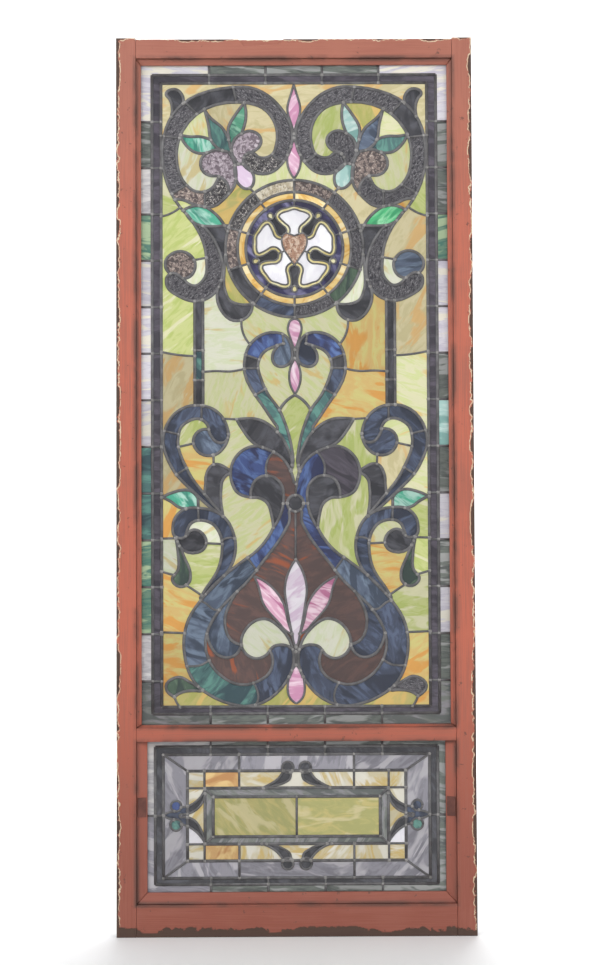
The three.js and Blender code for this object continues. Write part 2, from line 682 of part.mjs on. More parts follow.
// The four corners of an opening's beads, at the sash and at the glass
const upperBeads = {
  outer: { half: opening - FIT, bottom: middleRailTop + FIT, top: topRailBottom - FIT },
  inner: {
    half: opening - UPPER_SIDE_BEAD,
    bottom: middleRailTop + UPPER_BOTTOM_BEAD,
    top: topRailBottom - UPPER_TOP_BEAD,
  },
};
const lowerBeads = {
  outer: { half: opening - FIT, bottom: BOTTOM_RAIL_FACE + FIT, top: MIDDLE_RAIL_BOTTOM - FIT },
  inner: {
    half: opening - LOWER_SIDE_BEAD,
    bottom: BOTTOM_RAIL_FACE + LOWER_BOTTOM_BEAD,
    top: MIDDLE_RAIL_BOTTOM - FIT,
  },
};

function sideBead({ outer, inner }, side, mitredTop) {
  const end = (edge, shift) => [
    [side * outer.half, outer[edge] + shift], [side * inner.half, inner[edge] + shift],
  ];
  const low = end('bottom', MITRE_GAP);
  const high = end('top', mitredTop ? -MITRE_GAP : 0);
  return bead(side > 0 ? [low, high] : [high, low]);
}

function crossBead({ outer, inner }, edge) {
  const end = (side) => [[side * outer.half, outer[edge]], [side * inner.half, inner[edge]]];
  return bead(edge === 'bottom' ? [end(-1), end(1)] : [end(1), end(-1)]);
}

// A repair plate lies on the slope of a lower side bead
function repairPlate(side) {
  const run = lowerBeads.outer.half - lowerBeads.inner.half;
  const slope = Math.atan((BEAD_OUTER_THICKNESS - BEAD_INNER_THICKNESS) / run);
  const lift = FIT + PLATE_THICKNESS / 2;
  const middle = beadBack - (BEAD_OUTER_THICKNESS + BEAD_INNER_THICKNESS) / 2;
  const mesh = new THREE.BoxGeometry(PLATE_WIDTH, PLATE_THICKNESS, PLATE_HEIGHT);
  mesh.rotateZ(-side * slope);
  mesh.translate(
    side * ((lowerBeads.outer.half + lowerBeads.inner.half) / 2 - lift * Math.sin(slope)),
    middle - lift * Math.cos(slope), PLATE_MIDDLE_HEIGHT,
  );
  return mesh;
}

// Names and places
const leadedLight = new THREE.Group();

function add(name, form, material) {
  const mesh = new THREE.Mesh(form instanceof THREE.BufferGeometry ? form : toGeometry(form), material);
  mesh.name = name;
  leadedLight.add(mesh);
}

const SIDES = { left: -1, right: 1 };

for (const [name, side] of Object.entries(SIDES)) add(`${name}_stile`, stile(side), paint());
add('top_rail', topRail(), paint());
add('middle_rail', middleRail(), paint());
add('bottom_rail', bottomRail(), weatheredPaint());

for (const [name, side] of Object.entries(SIDES)) {
  add(`upper_${name}_bead`, sideBead(upperBeads, side, true), paint());
  add(`lower_${name}_bead`, sideBead(lowerBeads, side, false), weatheredPaint());
  add(`${name}_plate`, repairPlate(side), steel());
}
add('upper_top_bead', crossBead(upperBeads, 'top'), paint());
add('upper_bottom_bead', crossBead(upperBeads, 'bottom'), paint());
add('lower_bottom_bead', crossBead(lowerBeads, 'bottom'), weatheredPaint());

add('upper_lead', upperLead(), lead());
add('lower_lead', lowerLead(), lead());

add('upper_outer_border_glass', ringPane(edgeLine(upperPanel), BORDER_OUTER), glass(0x6f7a6b));
add('upper_inner_border_glass', ringPane(BORDER_OUTER, BORDER_INNER), glass(0x26202a));
add('upper_field_glass', fieldGlass(), glass(0xc9c77e));
add('rose_rim_glass', roundPane(roseCircle(ROSE.rim), roseCircle(ROSE.gold)), glass(0x5c5147));
add('rose_gold_glass', roundPane(roseCircle(ROSE.gold), roseCircle(ROSE.inner)), glass(0xd9bd62));
add('rose_glass', roundPane(roseCircle(ROSE.inner)), glass(0xe6e2d2));
add('roundel', roundPane(roundel), glass(0x3f3a45));
for (const [name, side] of Object.entries(SIDES)) {
  add(`${name}_bar_glass`, pane(moved(barLine(side), -GLASS_INSET)), glass(0x1f2b2c));
}
for (const [name, half] of Object.entries(jewels)) {
  add(name, pane(moved(jewelOutline(half), -GLASS_INSET)), glass(0xd9a3b8));
}

const { strip: darkLine, band: bandLine, tiles: tileLine, frame: frameLine, light: lightLine } = LOWER_LINES;
add('lower_outer_glass', ringPane(edgeLine(lowerPanel), darkLine), glass(0x5b635c));
add('lower_dark_glass', ringPane(darkLine, bandLine), glass(0x1d1a20));
add('lower_band_glass', ringPane(bandLine, tileLine), glass(0x8f8d97));
add('lower_tile_glass', ringPane(tileLine, frameLine), glass(0xd6c98f));
add('lower_frame_glass', ringPane(frameLine, lightLine), glass(0x5a5560));
for (const [name, side] of Object.entries(SIDES)) {
  const [near, far] = [side * GLASS_INSET, side * (lightLine.half - GLASS_INSET)].sort((a, b) => a - b);
  const [low, high] = [lightLine.bottom + GLASS_INSET, lightLine.top - GLASS_INSET];
  const corners = vectors([[near, low], [far, low], [far, high], [near, high]]);
  add(`lower_${name}_light`, pane(corners), glass(0xd2c45a));
}

export default leadedLight;
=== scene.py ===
"""Stained glass window: a tall leaded light over a low one, in a single painted wooden sash.

The pattern of the leads is drawn once, as fair curves through a few points, and mirrored. The leads
part each panel into cells, and every cell gets its own pane, cut from the glass named for it below.
Places in the pattern are (out from the middle, up from the sash's underside), in millimetres.
"""
from functools import lru_cache
import math

import bmesh
import bpy
import numpy as np
from bpy.props import FloatProperty, FloatVectorProperty, PointerProperty
from mathutils import Matrix, Vector
from mathutils.geometry import delaunay_2d_cdt


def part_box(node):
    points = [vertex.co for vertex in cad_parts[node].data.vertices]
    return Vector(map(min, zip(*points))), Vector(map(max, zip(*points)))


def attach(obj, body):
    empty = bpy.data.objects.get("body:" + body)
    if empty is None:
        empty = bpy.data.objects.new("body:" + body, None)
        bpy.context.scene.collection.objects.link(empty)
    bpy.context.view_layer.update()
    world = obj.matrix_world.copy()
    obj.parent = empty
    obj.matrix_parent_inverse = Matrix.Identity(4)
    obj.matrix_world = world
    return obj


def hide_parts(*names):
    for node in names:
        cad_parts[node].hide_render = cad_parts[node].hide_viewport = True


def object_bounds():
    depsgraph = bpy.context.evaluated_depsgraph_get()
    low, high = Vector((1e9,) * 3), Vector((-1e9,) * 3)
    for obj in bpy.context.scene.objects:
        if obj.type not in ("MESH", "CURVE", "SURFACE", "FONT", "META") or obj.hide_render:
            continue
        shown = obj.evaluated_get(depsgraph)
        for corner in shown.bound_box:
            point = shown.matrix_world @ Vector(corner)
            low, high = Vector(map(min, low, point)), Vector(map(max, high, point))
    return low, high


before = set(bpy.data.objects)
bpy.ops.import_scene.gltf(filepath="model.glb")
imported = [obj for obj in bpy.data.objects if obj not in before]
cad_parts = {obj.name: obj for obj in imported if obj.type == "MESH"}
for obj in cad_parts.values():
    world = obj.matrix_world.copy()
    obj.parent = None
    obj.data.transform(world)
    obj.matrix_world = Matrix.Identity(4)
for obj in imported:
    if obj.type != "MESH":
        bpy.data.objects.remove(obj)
CAD_BOX = [list(corner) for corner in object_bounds()]
SASH_HALF = CAD_BOX[1][0]
SASH_TOP = CAD_BOX[1][2]

bl_info = {
    "name": "Leaded window",
    "version": (1, 0, 0),
    "blender": (4, 5, 0),
    "location": "3D View > Sidebar > Leaded window",
    "description": "Dresses a leaded window: panes, cames, solder, painted sash and repair plates",
    "category": "Object",
}

MM = 0.001
SEED = 1890


def box(node):
    """Lowest and highest corner of a CAD node, in millimetres."""
    return np.array(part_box(node)) / MM


# Depths that the frame gives, in millimetres: the two faces of the leads and of the glass
PANEL = {name: box(f"{name}_lead") for name in ("upper", "lower")}
LEAD_FACES = PANEL["upper"][:, 1]
GLASS_FACES = box("upper_field_glass")[:, 1]

# The glazing beads, by their place
BEADS = (
    "upper_left", "upper_right", "upper_top", "upper_bottom", "lower_left", "lower_right", "lower_bottom",
)

# Border lines of the upper panel from the outside in, as (half width, bottom, top), and its cross leads
UPPER_RINGS = [(329.0, 503.0, 1979.5), (308.0, 519.0, 1960.5)]
SIDE_CROSS = [578.0 + 107.7 * step for step in range(13)]
TOP_CROSS = [65.5, 196.5]

# Border lines of the lower panel from the outside in, and the cross leads of its tiles
LOWER_RINGS = [
    (323.5, 114.5, 428.0), (305.0, 129.0, 410.0), (250.0, 168.0, 372.5), (210.0, 206.0, 333.5),
    (191.0, 223.0, 313.5),
]
LOWER_MIDDLE = 271.0
TILE_CROSS = 131.5
TILE_CROSS_OUT = 211.0

# The rose: its middle, its rings, and how many parts its rings and its flower have
ROSE_UP = 1574.5
ROSE_RINGS = (159.5, 131.5, 112.5)
ROSE_PARTS = 10
PETALS = 5
ROUNDEL_UP = 985.0
ROUNDEL_RADIUS = 19.0

# Half of a petal, as (outward, aside) on its own axis: its edge, and the edge of its white glass
PETAL_EDGE = [
    (99, 0), (95, 16.5), (91, 31), (84.5, 40), (75, 43.2), (65.5, 39), (55.3, 28.8), (47.7, 20),
    (40, 18), (34.4, 21), (30.5, 22.8),
]
PETAL_WHITE = [
    (91.5, 0), (87.3, 14.8), (83.2, 27.5), (78.7, 34), (75, 35.5), (69.8, 32), (60.8, 23),
    (50.5, 12.2), (41, 10), (33, 12.5), (25.1, 17.7),
]
PETAL_CORNER = (80, 41)
BLADE_END = 86.0
BLADE_DROP = [(86, 0), (90, 4.5), (96, 6), (100, 3.5), (101, 0)]
ROSE_HEART = [
    (0, 29.5), (10, 33.5), (21, 35.5), (28, 27.5), (29, 13.5), (25, -0.5), (15, -16.5), (5, -31.5),
    (0, -38.5),
]
HEART_LEAD = [(36, -10.5), (25, -7)]

# The sizes that hold the widths of a panel's three groups of leads, from the widest down
CAME_WIDTHS = ("came_width", "fine_came_width", "rose_came_width")

# Leads of the ground, drawn for one half
UPPER_LEADS = {
    "scroll_outer": [(118, 1771), (62, 1749), (22, 1780), (4, 1842), (30, 1902), (100, 1950),
        (145, 1951), (280, 1889), (305, 1784), (266, 1674), (243, 1648), (204, 1556), (212, 1501),
        (229, 1489), (246, 1494), (258, 1506), (287, 1517), (296, 1507)],
    "scroll_inner": [(117, 1788), (94, 1797), (82, 1788), (50, 1795), (41, 1817), (63, 1895),
        (131, 1916), (258, 1850), (272, 1785), (251, 1725), (227, 1708), (188, 1718), (178, 1734),
        (174, 1743)],
    "scroll_end": [(50, 1795), (40, 1784), (24, 1778)],
    "scroll_cut_top": [(141, 1954), (133, 1914)],
    "scroll_cut_high": [(224, 1887), (250, 1913)],
    "scroll_cut_side": [(266, 1833), (307, 1838)],
    "scroll_cut_low": [(250, 1722), (281, 1704)],
    "curl_cut": [(208, 1713), (206, 1677)],
    "right_ball": [(130, 1775), (138, 1829), (121, 1843), (101, 1849), (76, 1827), (92, 1802),
        (106, 1798), (118, 1771)],
    "left_ball": [(202, 1798), (209, 1753), (195, 1745), (174, 1743), (151, 1703)],
    "left_ball_side": [(151, 1703), (142, 1714), (135, 1760), (152, 1800)],
    "curl_bottom": [(274, 1690), (256, 1688), (240, 1681), (180, 1676), (165, 1688), (151, 1703)],
    "leaf_a": [(207, 1899), (197, 1884), (162, 1851), (147, 1803)],
    "leaf_a_side": [(207, 1899), (199, 1868), (188, 1820), (166, 1803)],
    "leaf_b": [(115, 1914), (113, 1868), (122, 1844)],
    "leaf_b_side": [(115, 1914), (132, 1892), (153, 1847), (149, 1829)],
    "leaf_c": [(263, 1840), (242, 1836), (218, 1836), (192, 1828)],
    "leaf_c_side": [(263, 1840), (248, 1814), (228, 1799), (202, 1798), (183, 1805), (166, 1803),
        (152, 1800)],
    "drop": [(138, 1768), (136, 1744), (130, 1727), (104, 1715), (93, 1740), (104, 1761), (118, 1771),
        (138, 1768)],
    "drop_lead": [(103, 1715), (93, 1706)],
    "neck_cut": [(19, 985), (31, 985)],
    "corner_ball": [(285, 1883), (288, 1924), (296, 1935), (278, 1947), (258, 1931), (257, 1914)],
    "leaf_d": [(257, 1664), (207, 1672), (184, 1657), (163, 1631), (157, 1616)],
    "leaf_d_side": [(250, 1656), (221, 1630), (200, 1627), (155, 1630)],
    "tail": [(212, 1628), (183, 1590), (167, 1512), (173, 1489), (222, 1453), (266, 1464), (296, 1492),
        (296, 1507)],
    "tail_ball": [(287, 1517), (298, 1547), (287, 1561), (265, 1569), (242, 1561), (230, 1543),
        (232, 1523), (244, 1509), (258, 1506)],
    "side_lead": [(308, 1650), (280, 1660), (264, 1671)],
    "tail_lead": [(231, 1549), (204, 1554)],
    "crescent": [(160, 1560), (162, 1530), (160, 1476), (150, 1455), (130, 1446), (98, 1447)],
    "comma_under_rose": [(167, 1500), (174, 1440), (133, 1407), (106, 1420), (98, 1447)],
    "comma_lead": [(123, 1408), (114, 1367), (103, 1352)],
    "bar_far": [(231, 1453), (231, 1211)],
    "bar_near": [(212, 1455), (212, 1211)],
    "bar_cut": [(231, 1339), (212, 1339)],
    "bar_cut_low": [(231, 1270), (212, 1270)],
    "bar_lead_far": [(308, 1336), (271, 1329), (231, 1326)],
    "bar_lead_near": [(212, 1289), (184, 1291), (150, 1290), (116, 1296)],
    "heart_outer": [(36, 1155), (66, 1198), (117, 1306), (102, 1354), (46, 1380), (28, 1376), (7, 1343),
        (15, 1306), (45, 1305), (50, 1333), (40, 1346)],
    "heart_inner": [(26, 1354), (50, 1346), (66, 1339), (85, 1308), (78, 1272), (61, 1235), (36, 1200),
        (27, 1180), (4, 1062)],
    "heart_cut_top": [(28, 1376), (24, 1352)],
    "heart_cut_far": [(113, 1328), (84, 1318)],
    "heart_cut_mid": [(116, 1297), (85, 1297)],
    "heart_cut_low": [(92, 1235), (68, 1249)],
    "fan": [(0, 1235), (17, 1224), (36, 1200)],
    "dark_leaf": [(135, 1179), (112, 1181), (90, 1180), (55, 1163), (14, 1104), (6, 1062)],
    "dark_leaf_under": [(135, 1179), (122, 1157), (95, 1124), (75, 1114)],
    "leaf_lead": [(135, 1179), (165, 1181)],
    "lobe": [(51, 929), (54, 952), (69, 990), (85, 998), (103, 999), (136, 1013), (145, 1030),
        (149, 1050), (147, 1071), (127, 1103), (95, 1117), (60, 1108), (32, 1091), (10, 1058),
        (3, 1030)],
    "lobe_cut": [(50, 1103), (62, 1088), (66, 1049)],
    "dark_comma": [(103, 999), (101, 1020), (93, 1037), (65, 1049), (37, 1035), (29, 1020), (27, 1000),
        (51, 929)],
    "side_outer": [(162, 1127), (156, 1134), (157, 1162), (184, 1200), (230, 1212), (252, 1208),
        (304, 1140), (286, 1071), (228, 1006), (186, 969), (166, 957)],
    "side_inner": [(162, 1127), (175, 1125), (197, 1147), (202, 1166), (214, 1178), (250, 1173),
        (263, 1161), (269, 1143), (246, 1058), (194, 989), (166, 957)],
    "side_cut_far": [(297, 1152), (269, 1145)],
    "side_cut_low": [(270, 1055), (250, 1067)],
    "side_cut_top": [(216, 1211), (216, 1178)],
    "side_ball": [(200, 1156), (235, 1131), (231, 1114), (184, 1098), (169, 1109), (154, 1145)],
    "side_ball_lead": [(268, 1116), (234, 1124)],
    "comma_lead_low": [(189, 1097), (188, 1075)],
    "black_comma": [(210, 1007), (207, 1030), (206, 1048), (188, 1075), (161, 1068), (150, 1057),
        (160, 1049), (168, 1038), (171, 1020), (166, 957)],
    "green_leaf": [(306, 1000), (288, 1009), (234, 1010), (224, 997)],
    "green_leaf_under": [(306, 1000), (285, 989), (270, 978), (252, 973)],
    "green_leaf_end": [(224, 997), (224, 974)],
    "small_outer": [(247, 918), (275, 908), (282, 936), (262, 969), (220, 975), (155, 943), (146, 925),
        (138, 885), (157, 828), (171, 813), (207, 777)],
    "small_inner": [(253, 911), (249, 924), (243, 937), (202, 944), (170, 902), (169, 882), (177, 838),
        (211, 783), (221, 766)],
    "small_ball": [(247, 918), (235, 925), (220, 921), (211, 881), (225, 873), (274, 906.5)],
    "small_cut_side": [(170, 900), (155, 906), (140, 905)],
    "small_cut_top": [(224, 974), (223, 948)],
    "small_ball_lead": [(205, 894), (170, 892)],
    "small_lead_far": [(308, 905), (278, 907)],
    "hanging_drop": [(276, 906), (270, 868), (271, 832), (284, 811), (279, 801), (244, 806), (242, 820),
        (257, 864), (276, 906)],
    "hanging_lead": [(308, 829), (280, 821)],
    "hanging_lead_low": [(251, 797), (235, 787), (219, 776)],
    "ground_lead": [(308, 690), (256, 688)],
    "vase_outer": [(51, 929), (99, 868), (118, 855), (207, 777), (251, 708), (257, 646), (223, 564),
        (206, 551), (140, 523), (114, 520), (20, 580), (10, 600), (37, 700), (73, 720), (107, 706),
        (117, 642), (86, 629), (71, 635), (50, 657), (24, 659), (3, 645)],
    "vase_inner": [(16, 967), (14, 945), (24, 923), (84, 840), (101, 817), (153, 765), (173, 744),
        (207, 649), (178, 595), (117, 569), (82, 580), (67, 590), (60, 647)],
    "vase_cut_high": [(221, 762), (209, 757), (186, 741), (176, 741)],
    "vase_cut_top": [(109, 858), (92, 833)],
    "vase_cut_side": [(251, 612), (235, 612), (217, 615), (204, 623)],
    "vase_cut_low": [(98, 573), (90, 557), (87, 540), (93, 523)],
    "vase_comma": [(204, 686), (199, 665), (177, 636), (145, 634), (127, 658)],
    "vase_comma_side": [(135, 783), (150, 758), (163, 718), (143, 667), (127, 661)],
    "lily_middle": [(0, 856), (25, 793), (20, 744), (9, 685), (4, 662), (0, 655)],
    "lily_petal": [(96, 818), (29, 757), (18, 712), (9, 685)],
    "lily_petal_far": [(96, 818), (87, 797), (75, 755), (37, 708), (24, 693), (10, 685)],
    "bottom_comma": [(226, 565), (244, 576), (271, 587), (298, 559), (289, 548), (279, 542)],
    "bottom_comma_under": [(279, 542), (268, 550), (238, 556), (217, 554)],
    "bottom_lead": [(279, 542), (275, 531), (267, 519)],
    "jewel_top": [(0, 1957), (6, 1937), (15, 1900), (4, 1858), (0, 1842)],
    "jewel_over_rose": [(0, 1832), (4, 1820), (16, 1783), (0, 1738)],
    "jewel_under_rose": [(0, 1411), (9, 1408), (15, 1396), (9, 1363), (0, 1340)],
    "jewel_in_heart": [(0, 1320), (13, 1271), (0, 1237)],
    "jewel_bottom": [(0, 614), (18, 579), (8, 531), (0, 526)],
}
CENTRE_LEADS = [
    [(0, 1842), (0, 1832)], [(0, 1340), (0, 1320)], [(0, 1060), (0, 1004)], [(0, 966), (0, 856)],
    [(0, 655), (0, 614)],
]

# Ornaments of the lower panel, drawn for one half: horns, and the balls between their tips
LOWER_LEADS = {
    "side_horn": [(210, 331), (227, 306), (262, 290)],
    "side_horn_under": [(210, 331), (224, 290), (262, 274)],
    "foot_horn": [(210, 208), (216, 232), (240, 264), (262, 268)],
    "foot_horn_under": [(210, 208), (232, 236), (262, 252)],
    "knot": [(262, 268), (268, 271), (262, 274)],
    "point": [(281, 280), (301, 275), (305, 272)],
    "point_under": [(281, 263), (301, 269), (305, 272)],
    "top_horn": [(76, 335), (59, 343), (41, 356), (31, 372)],
    "top_horn_under": [(76, 335), (49, 339), (28, 345), (15, 355), (14, 369)],
    "bottom_horn": [(80, 206), (41, 183), (31, 169)],
    "bottom_horn_under": [(80, 206), (28, 193), (16, 184), (14, 171)],
}
LOWER_BALLS = [(276, 293, 12), (276, 250, 13), (20, 380, 13), (21, 161, 13)]

# Glass, as three screen colours from 0 to 255 (body, streaks, clouds), how much of a pane is clouded,
# how long its streaks are against their width, and how high its ripples are in millimetres. On the
# hammered kinds the streaks and clouds are fine light and dark specks, painted glints and painted shade
GLASS = {
    "cream": ((206, 204, 168), (192, 198, 142), (206, 182, 122), 0.25, 4, 0.25),
    "lime": ((192, 198, 134), (172, 184, 108), (210, 208, 170), 0.35, 4, 0.25),
    "amber": ((202, 172, 110), (196, 186, 120), (204, 150, 80), 0.35, 3, 0.25),
    "olive": ((172, 164, 104), (156, 156, 90), (198, 170, 104), 0.40, 3, 0.25),
    "milk": ((214, 214, 196), (200, 206, 172), (200, 186, 140), 0.25, 4, 0.25),
    "beige": ((200, 190, 152), (182, 172, 132), (200, 166, 112), 0.35, 3, 0.25),
    "charcoal": ((84, 82, 86), (136, 134, 136), (58, 57, 62), 0.35, 2, 0.9),
    "black": ((68, 68, 72), (84, 84, 90), (56, 56, 60), 0.40, 2, 0.35),
    "mauve": ((158, 146, 154), (200, 190, 196), (112, 100, 108), 0.40, 1, 0.8),
    "brown": ((132, 118, 112), (184, 170, 160), (84, 76, 76), 0.45, 1, 0.8),
    "teal": ((78, 110, 108), (96, 140, 130), (60, 80, 86), 0.35, 3, 0.4),
    "green": ((92, 156, 128), (140, 184, 160), (74, 122, 106), 0.35, 3, 0.4),
    "turquoise": ((84, 170, 142), (168, 206, 192), (66, 132, 116), 0.35, 3, 0.4),
    "emerald": ((84, 186, 124), (150, 212, 168), (66, 150, 104), 0.35, 3, 0.4),
    "aqua": ((165, 200, 194), (200, 218, 212), (126, 166, 160), 0.35, 3, 0.3),
    "orchid": ((214, 192, 214), (226, 214, 226), (196, 170, 194), 0.35, 3, 0.3),
    "pink": ((212, 170, 192), (228, 206, 216), (194, 138, 168), 0.40, 4, 0.3),
    "magenta": ((206, 158, 180), (224, 200, 210), (176, 110, 142), 0.40, 5, 0.3),
    "lily": ((212, 200, 212), (200, 178, 198), (222, 216, 222), 0.40, 5, 0.3),
    "violet": ((66, 64, 98), (124, 122, 152), (52, 50, 70), 0.40, 2, 0.4),
    "gold": ((228, 200, 136), (208, 162, 84), (238, 220, 174), 0.35, 3, 0.3),
    "white": ((226, 224, 228), (214, 212, 218), (232, 231, 233), 0.35, 2, 0.2),
    "straw": ((222, 212, 158), (208, 192, 130), (230, 224, 184), 0.35, 3, 0.3),
    "copper": ((176, 138, 116), (112, 86, 76), (212, 188, 168), 0.40, 1, 0.9),
    "blue": ((70, 84, 130), (92, 114, 160), (56, 60, 88), 0.40, 3, 0.4),
    "navy": ((68, 74, 90), (86, 96, 118), (56, 60, 72), 0.40, 3, 0.4),
    "slate": ((88, 98, 116), (110, 124, 142), (66, 74, 88), 0.40, 3, 0.4),
    "ember": ((86, 72, 70), (98, 78, 74), (142, 82, 60), 0.22, 3, 0.4),
    "plum": ((80, 76, 84), (92, 86, 96), (66, 63, 70), 0.40, 4, 0.4),
    "grey_green": ((108, 114, 108), (86, 90, 88), (150, 152, 150), 0.40, 6, 0.4),
    "grey_lilac": ((146, 144, 152), (124, 122, 130), (178, 175, 180), 0.40, 3, 0.4),
    "ash": ((190, 188, 190), (164, 162, 166), (208, 206, 204), 0.40, 5, 0.4),
    "pearl": ((204, 202, 208), (184, 180, 192), (218, 214, 200), 0.35, 6, 0.4),
    "fern": ((110, 142, 122), (76, 118, 106), (166, 188, 152), 0.40, 5, 0.4),
    "oatmeal": ((184, 172, 148), (120, 112, 100), (212, 204, 186), 0.40, 1, 0.7),
    "pepper": ((80, 78, 80), (184, 178, 172), (56, 54, 56), 0.35, 1, 0.9),
    "tile": ((202, 192, 160), (196, 172, 112), (218, 214, 200), 0.40, 3, 0.3),
    "orange": ((200, 160, 106), (212, 182, 126), (182, 134, 86), 0.40, 2, 0.3),
    "moss": ((166, 164, 106), (184, 172, 112), (196, 186, 140), 0.35, 3, 0.3),
    "sage": ((116, 120, 114), (136, 134, 138), (94, 98, 96), 0.40, 4, 0.4),
    "bottle": ((74, 92, 78), (92, 110, 92), (60, 72, 68), 0.40, 3, 0.4),
}

# How many features of streaks, clouds, the painted glints and shade of hammered glass, and ripples there
# are in a metre of glass
STREAK_SCALE = 16
CLOUD_SCALE = 9
LIGHTING_SPECK_SCALE = 190
LIGHTING_SPECK_CLOUD_SCALE = 114
RIPPLE_SCALE = 55
FINE_RIPPLE_SCALE = 140

# Where streaks begin and are full in smooth glass, and the painted glints in hammered glass, and how
# wide a cloud's rim is
STREAK_RIM = (0.42, 0.62)
LIGHTING_SPECK_RIM = (0.50, 0.64)
CLOUD_MIDDLE = 0.68
CLOUD_RIM = 0.10

# Brightness of the darkest pane, what the tone of a pane adds at most, and the share of the streaks in it,
# which on hammered glass are painted glints and shade
DARKEST_PANE = 0.78
TONE_RANGE = 0.30
STREAK_TONE = 0.20
GLASS_ROUGHNESS = 0.16

# Glass with a hammered or granite face: its mottling is as fine as its grain, and its light and dark
# specks are painted glints and painted shade
LIGHTING_SPECKLED = ("charcoal", "mauve", "brown", "copper", "oatmeal", "pepper")

# Pieces of glass: their panel, a material slot that nothing reads, the CAD nodes that they stand for, and
# the glass of every cell that no line below names
PANES = {
    "border_panes": ("upper", "border_glass", ["upper_outer_border_glass"], "grey_green"),
    "dark_border_panes": ("upper", "dark_glass", ["upper_inner_border_glass"], "plum"),
    "rose_rim_panes": ("upper", "rim_glass", ["rose_rim_glass"], "charcoal"),
    "rose_gold_panes": ("upper", "gold_glass", ["rose_gold_glass"], "gold"),
    "rose_panes": ("upper", "white_glass", ["rose_glass"], "violet"),
    "ground_panes": ("upper", "field_glass", ["upper_field_glass"], "cream"),
    "scroll_panes": ("upper", "dark_glass", ["upper_field_glass"], "charcoal"),
    "leaf_panes": ("upper", "teal_glass", ["upper_field_glass"], "turquoise"),
    "heart_panes": ("upper", "blue_glass", ["upper_field_glass"], "navy"),
    "vase_panes": ("upper", "blue_glass", ["upper_field_glass"], "navy"),
    "ember_panes": ("upper", "brown_glass", ["upper_field_glass"], "ember"),
    "lily_panes": ("upper", "pink_glass", ["upper_field_glass"], "lily"),
    "roundel_pane": ("upper", "blue_glass", ["roundel"], "black"),
    "bar_panes": ("upper", "dark_glass", ["left_bar_glass", "right_bar_glass"], "black"),
    "jewel_panes": (
        "upper", "pink_glass",
        ["jewel_top", "jewel_over_rose", "jewel_under_rose", "jewel_in_heart", "jewel_bottom"], "pink",
    ),
    "lower_border_panes": ("lower", "border_glass", ["lower_outer_glass"], "grey_green"),
    "lower_dark_panes": ("lower", "dark_glass", ["lower_dark_glass"], "black"),
    "lower_band_panes": ("lower", "lilac_glass", ["lower_band_glass"], "grey_lilac"),
    "lower_tile_panes": ("lower", "field_glass", ["lower_tile_glass"], "tile"),
    "lower_frame_panes": ("lower", "lilac_glass", ["lower_frame_glass"], "sage"),
    "lower_light_panes": ("lower", "field_glass", ["lower_left_light", "lower_right_light"], "moss"),
    "lower_horn_panes": ("lower", "dark_glass", ["lower_tile_glass", "lower_band_glass"], "black"),
}

# The pieces by the ring that a cell lies in, from the outside in
UPPER_REGIONS = ["border_panes", "dark_border_panes", "ground_panes"]
ROSE_REGIONS = ["rose_rim_panes", "rose_gold_panes", "rose_panes"]
LOWER_REGIONS = [
    "lower_border_panes", "lower_dark_panes", "lower_band_panes", "lower_tile_panes",
    "lower_frame_panes", "lower_light_panes",
]

